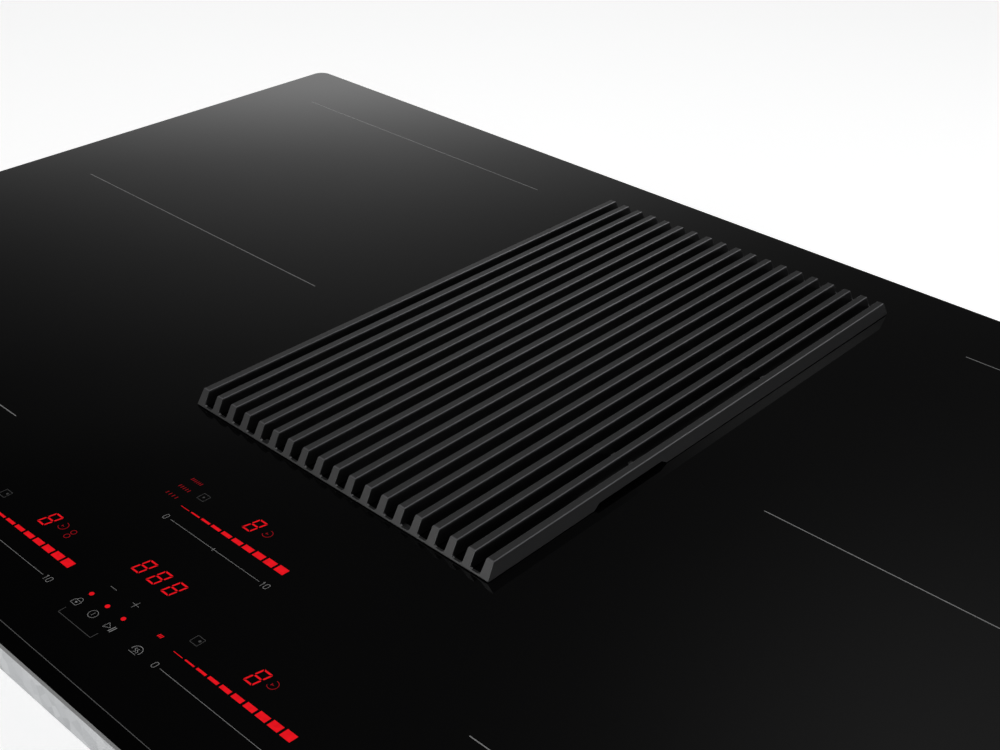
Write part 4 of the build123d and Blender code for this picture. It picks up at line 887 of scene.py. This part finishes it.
put_mark("minus_plus", minus_plus(), ink_bright)
put_mark("padlock_key", padlock(-13.1, -223.8), ink_bright)
put_mark("power_key", power_ring(-2.1, -223.8), ink_bright)
put_mark("play_pause_key", play_pause(8.9, -223.8), ink_bright)
put_mark("keep_warm_key", warm_keeper(27.6, -224.3), ink_bright)
BRACKET_LINE = 0.28
bracket = [
    stroke((-13.3, -232.4), (8.8, -232.4), BRACKET_LINE),
    stroke((-13.3, -232.4), (-13.3, -228.9), BRACKET_LINE),
    stroke((8.8, -232.4), (8.8, -228.9), BRACKET_LINE),
]
put_mark("key_bracket", bracket, ink_faint)
print("keys drawn")

# %% [markdown]
# ## Signs for modes, timers and links
# The extractor and the zones have faint grey squares with a dot for their modes. Beside the digits
# stand thin red moons with clock hands for the timers, and a pair of loops for linked zones. All are
# made of a few strokes, loops and arcs, as the key symbols are.

# %% Signs for modes, timers and links
SQUARE_SIZE = 4.4
SQUARE_LINE = 0.25


def square(x, y):
    half = SQUARE_SIZE / 2
    corners = [(x - half, y - half), (x + half, y - half), (x + half, y + half), (x - half, y + half)]
    return loop(corners, SQUARE_LINE)


MOON_LINE = 0.22


def moon(x, y):
    outer = arc((x, y), 2.3, -145, 100, MOON_LINE, steps=20)
    hands = [
        stroke((x - 0.6, y - 0.7), (x - 0.6, y + 0.5), MOON_LINE),
        stroke((x - 0.6, y - 0.1), (x + 0.5, y - 0.1), MOON_LINE),
    ]
    return outer + hands


def linked_loops(x, y):
    loops = []
    for offset in (-1.7, 1.7):
        loops += arc((x, y + offset), 1.3, 0, 360, MOON_LINE)
    return loops


mode_square = square(-33.5, -146.0) + [disc((-33.5, -146.0), 0.55)]
put_mark("extractor_mode_square", mode_square, ink_faint)
for name, x in (("left", -98.0), ("right", 39.9)):
    marks = square(x, -204.8) + [disc((x + 0.9, -204.4), 0.6)]
    put_mark(name + "_zone_mode_square", marks, ink_faint)
timer_moons = moon(6.9, -143.1) + moon(-59.6, -200.2) + moon(79.5, -200.2)
put_mark("timer_moons", timer_moons, lamp_dim)
put_mark("link_sign", linked_loops(-52.6, -201.4), lamp_dim)
print("signs for modes, timers and links drawn")

# %% [markdown]
# ## Red points and tick signs
# Three red points tell that the keys under them are live. Rows of small leaning ticks are the lit
# signs of the filters' state and of keeping warm. Ticks of one height and lean need only a count and
# a place, so one helper draws the filters' three rows.

# %% Red points and tick signs
live_points = [disc((x, -217.2), 1.1) for x in (-13.0, -2.0, 8.8)]
put_mark("live_points", live_points, lamp_bright)

SIGN_LENGTH = 6.4
SIGN_HALF = 0.9
SIGN_LEAN = 0.3
SIGN_LINE = 0.28


def tick_row(x, y, count):
    pitch = SIGN_LENGTH / (count - 1)
    lefts = [x - SIGN_LENGTH / 2 + i * pitch for i in range(count)]
    ends = [((left, y - SIGN_HALF), (left + SIGN_LEAN, y + SIGN_HALF)) for left in lefts]
    return [stroke(low, high, SIGN_LINE) for low, high in ends]


filter_signs = tick_row(-45.3, -154.5, 4) + tick_row(-45.3, -147.7, 5) + tick_row(-45.3, -140.9, 6)
put_mark("filter_signs", filter_signs, lamp_dim)
WARM_PITCH = 0.9
WARM_LINE = 0.45
warm_shifts = [i * WARM_PITCH for i in range(3)]
warm_sign = [stroke((26.4 + dx, -214.0), (26.8 + dx, -212.2), WARM_LINE) for dx in warm_shifts]
put_mark("keep_warm_sign", warm_sign, lamp_bright)
print(len(live_points), "red points,", len(filter_signs) + len(warm_sign), "ticks")

# %% [markdown]
# ## One screw
# The pieces under the worktop are held by hexagon screws with a washer face, driven up from below.
# A bought model of one would do, but its shape is only a stack of rings: round at the washer, six-
# sided up the head, round again at the chamfer, and dished in the middle. Every ring has 24 points,
# so the same quads join each to the next, and one ring's radius can follow a hexagon.

# %% One screw
RING_POINTS = 24
SCREW_RINGS = (
    # Radius, height off the seat, and whether the ring follows a hexagon; millimetres.
    (3.3, 0.0, False), (3.4, 0.15, False), (3.3, 0.6, False), (2.5, 0.65, True), (2.5, 2.2, True),
    (2.35, 2.5, False), (1.7, 2.5, False), (1.5, 2.2, False),
)


def hexagon_radius(across, turn):
    # How far a hexagon's side lies from its centre in one direction.
    in_side = (turn + math.pi / 6) % (math.pi / 3) - math.pi / 6
    return across / math.cos(in_side)


def add_screw(build, seat):
    rings = []
    for radius, height, is_hexagon in SCREW_RINGS:
        ring = []
        for i in range(RING_POINTS):
            turn = 2 * math.pi * i / RING_POINTS
            r = hexagon_radius(radius, turn) if is_hexagon else radius
            place = (seat[0] + r * math.cos(turn), seat[1] - r * math.sin(turn), seat[2] - height)
            ring.append(build.verts.new([v * MM for v in place]))
        rings.append(ring)
    for lower, upper in zip(rings, rings[1:]):
        for i in range(RING_POINTS):
            j = (i + 1) % RING_POINTS
            build.faces.new((lower[i], lower[j], upper[j], upper[i]))
    build.faces.new(rings[0][::-1])
    build.faces.new(rings[-1])


print("a screw is", len(SCREW_RINGS), "rings of", RING_POINTS, "points")

# %% [markdown]
# ## Screws underneath
# The first screws hold the terminal box's cover and, through the casing's floor, the two coil plates.
# Their places could be typed in, but here they are measured from the solids, in from the corners.
# The screws of one group make one mesh, in a zinc that is a little brighter than the sheet's.

# %% Screws underneath
COVER_INSET = 7
PLATE_INSET = 8
screw_zinc = make_metal("screw_zinc", (0.50, 0.50, 0.52), 0.26, (1, 1, 1), 1800, 0.00002)


def put_screws(name, seats):
    mesh = bpy.data.meshes.new(name)
    build = bmesh.new()
    for seat in seats:
        add_screw(build, seat)
    bmesh.ops.recalc_face_normals(build, faces=build.faces)
    build.to_mesh(mesh)
    build.free()
    mesh.materials.append(screw_zinc)
    screws = bpy.data.objects.new(name, mesh)
    bpy.context.scene.collection.objects.link(screws)
    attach(screws, "root")
    print(name, len(seats))


def corners_inside(node, inset):
    # Four places on a node's underside, in from its corners.
    low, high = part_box(node)
    xs = (low[0] / MM + inset, high[0] / MM - inset)
    ys = (low[1] / MM + inset, high[1] / MM - inset)
    return [(x, y, low[2] / MM) for x in xs for y in ys]


casing_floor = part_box("upper_casing")[0][2] / MM
plate_corners = [
    corner
    for side in ("left", "right")
    for corner in corners_inside("support_plate_" + side, PLATE_INSET)
]
put_screws("terminal_cover_screws", corners_inside("terminal_cover", COVER_INSET))
put_screws("casing_floor_screws", [(x, y, casing_floor) for x, y, _ in plate_corners])

# %% [markdown]
# ## Screws round the blower
# The volute's cover sits on a narrow flange that follows its spiral wall. To find the flange without
# repeating the spiral's sizes, a ray is sent in from far out at the flange's level, and the screw is
# seated half a flange in from where the ray meets the edge. Four more hold the blower's hangers to
# the casing's floor, two at each.

# %% Screws round the blower
FLANGE_HALF = 3.4
FLANGE_SHEET = 2
blower_turns = (-150, -115, -80, -45, -10, 15, 75, 110, 150, 178)
wheel_centre = Vector(box_centre("impeller"))
housing_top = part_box("scroll_housing")[1][2]


def flange_seat(degrees):
    turn = math.radians(degrees)
    outward = Vector((math.cos(turn), math.sin(turn), 0))
    level = housing_top - FLANGE_SHEET * MM / 2
    start = Vector((wheel_centre.x, wheel_centre.y, level)) + outward
    _, place, normal, _ = frame["nodes"]["scroll_housing"].ray_cast(start, -outward)
    seat = place + normal * -FLANGE_HALF * MM
    return seat.x / MM, seat.y / MM, housing_top / MM - FLANGE_SHEET


put_screws("volute_screws", [flange_seat(turn) for turn in blower_turns])
HANGER_SHEET = 1.2
HANGER_EDGE = 5.5
HANGER_END = 7
side_low, side_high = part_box("blower_hanger")
back_low, back_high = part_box("outlet_bracket")
hanger_level = casing_floor - HANGER_SHEET
side_x, back_y = side_high[0] / MM - HANGER_EDGE, back_low[1] / MM + HANGER_EDGE
hanger_seats = [
    (side_x, side_low[1] / MM + HANGER_END, hanger_level),
    (side_x, side_high[1] / MM - HANGER_END, hanger_level),
    (back_low[0] / MM + HANGER_END, back_y, hanger_level),
    (back_high[0] / MM - HANGER_END, back_y, hanger_level),
]
put_screws("hanger_screws", hanger_seats)

# %% [markdown]
# ## Floor
# The floor is a wide pale sheet under the cooktop. Its colour takes the object's soft shadow, and a
# share of plain light that only the camera and mirrors see lifts it to white. Its underside lets
# everything through, so that the cooktop can also be looked at from below.

# %% Floor
FLOOR_SIZE = 30
FLOOR_DROP = 0.0002
FLOOR_LIFT = 0.6
low_z = solid_box[0][2]


def mix_by(tree, share, first, second):
    node = add_node(tree, "ShaderNodeMixShader")
    for socket, source in zip(node.inputs, (share, first, second)):
        link(tree, source, socket)
    return node.outputs["Shader"]


def seen_rays(tree):
    path = add_node(tree, "ShaderNodeLightPath")
    total = path.outputs["Is Camera Ray"]
    for name in ("Is Glossy Ray", "Is Transmission Ray"):
        total = calc(tree, "MAXIMUM", total, path.outputs[name])
    return total


def make_floor():
    bpy.ops.mesh.primitive_plane_add(size=FLOOR_SIZE, location=(0, 0, low_z - FLOOR_DROP))
    floor = bpy.context.object
    floor.name = "floor"
    material, tree, shader = start_material("floor")
    shader.inputs["Base Color"].default_value = (0.82, 0.82, 0.82, 1)
    shader.inputs["Roughness"].default_value = 0.9
    shader.inputs["Specular IOR Level"].default_value = 0
    shader.inputs["Emission Color"].default_value = (1, 1, 1, 1)
    lift = calc(tree, "MULTIPLY", seen_rays(tree), FLOOR_LIFT)
    link(tree, lift, shader.inputs["Emission Strength"])
    through = add_node(tree, "ShaderNodeBsdfTransparent")
    below = add_node(tree, "ShaderNodeNewGeometry").outputs["Backfacing"]
    one_way = mix_by(tree, below, shader.outputs["BSDF"], through.outputs["BSDF"])
    link(tree, one_way, tree.nodes["Material Output"].inputs["Surface"])
    floor.data.materials.append(material)


make_floor()
print("floor at", round(low_z / MM, 1), "mm")

# %% [markdown]
# ## Brightness by direction
# A world is a brightness for every direction. A photographed studio could give it, but a few nodes
# are enough: a ramp over the height above the horizon, and a round blob about one direction. A level
# that comes out of them then drives a plain white background.

# %% Brightness by direction


def aim_at(turn, height):
    turn, height = math.radians(turn), math.radians(height)
    flat = math.cos(height)
    return (-math.sin(turn) * flat, math.cos(turn) * flat, math.sin(height))


def ramp_over(tree, value, stops):
    node = add_node(tree, "ShaderNodeValToRGB")
    ramp = node.color_ramp
    # A new ramp has two elements, at its ends. The stops between are added to them.
    for element, (place, level) in zip(ramp.elements, (stops[0], stops[-1])):
        element.position = place
        element.color = (level, level, level, 1)
    for place, level in stops[1:-1]:
        ramp.elements.new(place).color = (level, level, level, 1)
    link(tree, value, node.inputs["Fac"])
    return node.outputs["Color"]


def blob_round(tree, direction, centre, spread):
    # One at the centre, falling off with the angle from it like a bell curve.
    toward = add_node(tree, "ShaderNodeVectorMath", operation="DOT_PRODUCT")
    toward.inputs[1].default_value = centre
    link(tree, direction, toward.inputs[0])
    sharp = 1 / math.radians(spread) ** 2
    steep = calc(tree, "MULTIPLY_ADD", toward.outputs["Value"], sharp, -sharp)
    return calc(tree, "EXPONENT", steep)


def backdrop(tree, level):
    node = add_node(tree, "ShaderNodeBackground")
    node.inputs["Color"].default_value = (1, 1, 1, 1)
    if isinstance(level, (int, float)):
        node.inputs["Strength"].default_value = level
    else:
        link(tree, level, node.inputs["Strength"])
    return node.outputs["Background"]


print("straight up is", [round(v, 3) for v in aim_at(0, 90)])

# %% [markdown]
# ## World
# Black glass shows whatever stands behind it. In the studio that is a white sweep near the horizon
# under a dark ceiling. A lamp lights the sweep at the back left, and a second one glows faintly high
# up behind the cooktop. So the glass fades from grey at its far corner to black near the cook. The
# fade, the bright side and the faint lamp make what mirrors see, in place of a modelled studio.

# %% World
# Sine of the height over the horizon, and how bright the sweep is there.
FADE = (
    (0.000, 1.10), (0.339, 1.10), (0.350, 0.935), (0.3665, 0.639), (0.3827, 0.446), (0.399, 0.341),
    (0.418, 0.251), (0.4415, 0.182), (0.4695, 0.132), (0.500, 0.088), (0.530, 0.068), (0.559, 0.039),
    (0.602, 0.026), (1.000, 0.030),
)
SOFT_FADE = ((0.0, 0.80), (0.30, 0.80), (0.45, 0.10), (1.0, 0.10))
SWEEP_TURN, SWEEP_SPREAD = 48.5, 10
GLOW_TURN, GLOW_HEIGHT, GLOW_SPREAD, GLOW_LEVEL = 14, 48, 9, 0.247
SIDE_SHARE = 0.15
LOW_BAND = (0.24, 0.32)
FRONT_TURN, FRONT_SPREAD, FRONT_SHARE = 170, 20, 0.08


def make_world():
    world = bpy.data.worlds.new("studio")
    world.use_nodes = True
    tree = world.node_tree
    tree.nodes.clear()
    place = add_node(tree, "ShaderNodeTexCoord").outputs["Generated"]
    height = axes(tree, place)["Z"]
    flat = add_node(tree, "ShaderNodeVectorMath", operation="MULTIPLY")
    flat.inputs[1].default_value = (1, 1, 0)
    unit = add_node(tree, "ShaderNodeVectorMath", operation="NORMALIZE")
    link(tree, place, flat.inputs[0])
    link(tree, flat.outputs["Vector"], unit.inputs[0])
    heading = unit.outputs["Vector"]
    # The sweep is bright at its lamp, and low down at the front too, where the room's light is.
    lobe = blob_round(tree, heading, aim_at(SWEEP_TURN, 0), SWEEP_SPREAD)
    side = remap(tree, lobe, SIDE_SHARE, 1, low_in=0, high_in=1)
    front = blob_round(tree, heading, aim_at(FRONT_TURN, 0), FRONT_SPREAD)
    facing = remap(tree, front, FRONT_SHARE, 1, low_in=0, high_in=1)
    low = remap(tree, height, 1, 0, low_in=LOW_BAND[0], high_in=LOW_BAND[1])
    spread = calc(tree, "MAXIMUM", side, calc(tree, "MULTIPLY", low, facing))
    sweep = calc(tree, "MULTIPLY", ramp_over(tree, height, FADE), spread)
    bell = blob_round(tree, place, aim_at(GLOW_TURN, GLOW_HEIGHT), GLOW_SPREAD)
    glow = remap(tree, bell, 0, GLOW_LEVEL, low_in=0, high_in=1)
    mirrored = backdrop(tree, calc(tree, "ADD", sweep, glow))
    soft = backdrop(tree, ramp_over(tree, height, SOFT_FADE))
    path = add_node(tree, "ShaderNodeLightPath").outputs
    straight = calc(tree, "MAXIMUM", path["Is Camera Ray"], path["Is Transmission Ray"])
    shown = mix_by(tree, path["Is Glossy Ray"], soft, mirrored)
    shown = mix_by(tree, straight, shown, backdrop(tree, 1))
    out = add_node(tree, "ShaderNodeOutputWorld")
    link(tree, shown, out.inputs["Surface"])
    bpy.context.scene.world = world


make_world()
print("world set")

# %% [markdown]
# ## Lamps
# Four soft panels light the cooktop: a broad one overhead for the slats' tops, one at the front for
# the slats' ends, and a low one at the right, which skims over the grille, so it lights the outer
# wall while each slat keeps it out of the gap beside it. A faint one at the back right is mirrored as
# a thin bright line by the edges painted pale as a highlight. None stands where the glass would mirror
# it to the camera.

# %% Lamps
LAMP_AIM = Vector((0, 0.03, 0))


def soft_panel(name, place, size, power):
    data = bpy.data.lights.new(name, "AREA")
    data.shape = "RECTANGLE"
    data.size, data.size_y = size
    data.energy = power
    panel = bpy.data.objects.new(name, data)
    panel.location = place
    aim = LAMP_AIM - Vector(place)
    panel.rotation_euler = aim.to_track_quat("-Z", "Y").to_euler()
    bpy.context.scene.collection.objects.link(panel)


soft_panel("overhead_panel", (-0.15, 0.25, 1.9), (1.5, 1.1), 11)
soft_panel("front_panel", (-0.5, -1.7, 0.8), (0.9, 0.6), 8)
soft_panel("right_panel", (1.75, 0.1, 0.3), (0.9, 0.3), 15)
soft_panel("edge_panel", (0.5, 1.05, 0.75), (0.4, 0.25), 0.45)
print("four panels")

# %% [markdown]
# ## Colour and the last lines
# The picture uses the standard view, so a colour comes out about as it is written.

# %% Colour and the last lines
bpy.context.scene.view_settings.view_transform = "Standard"
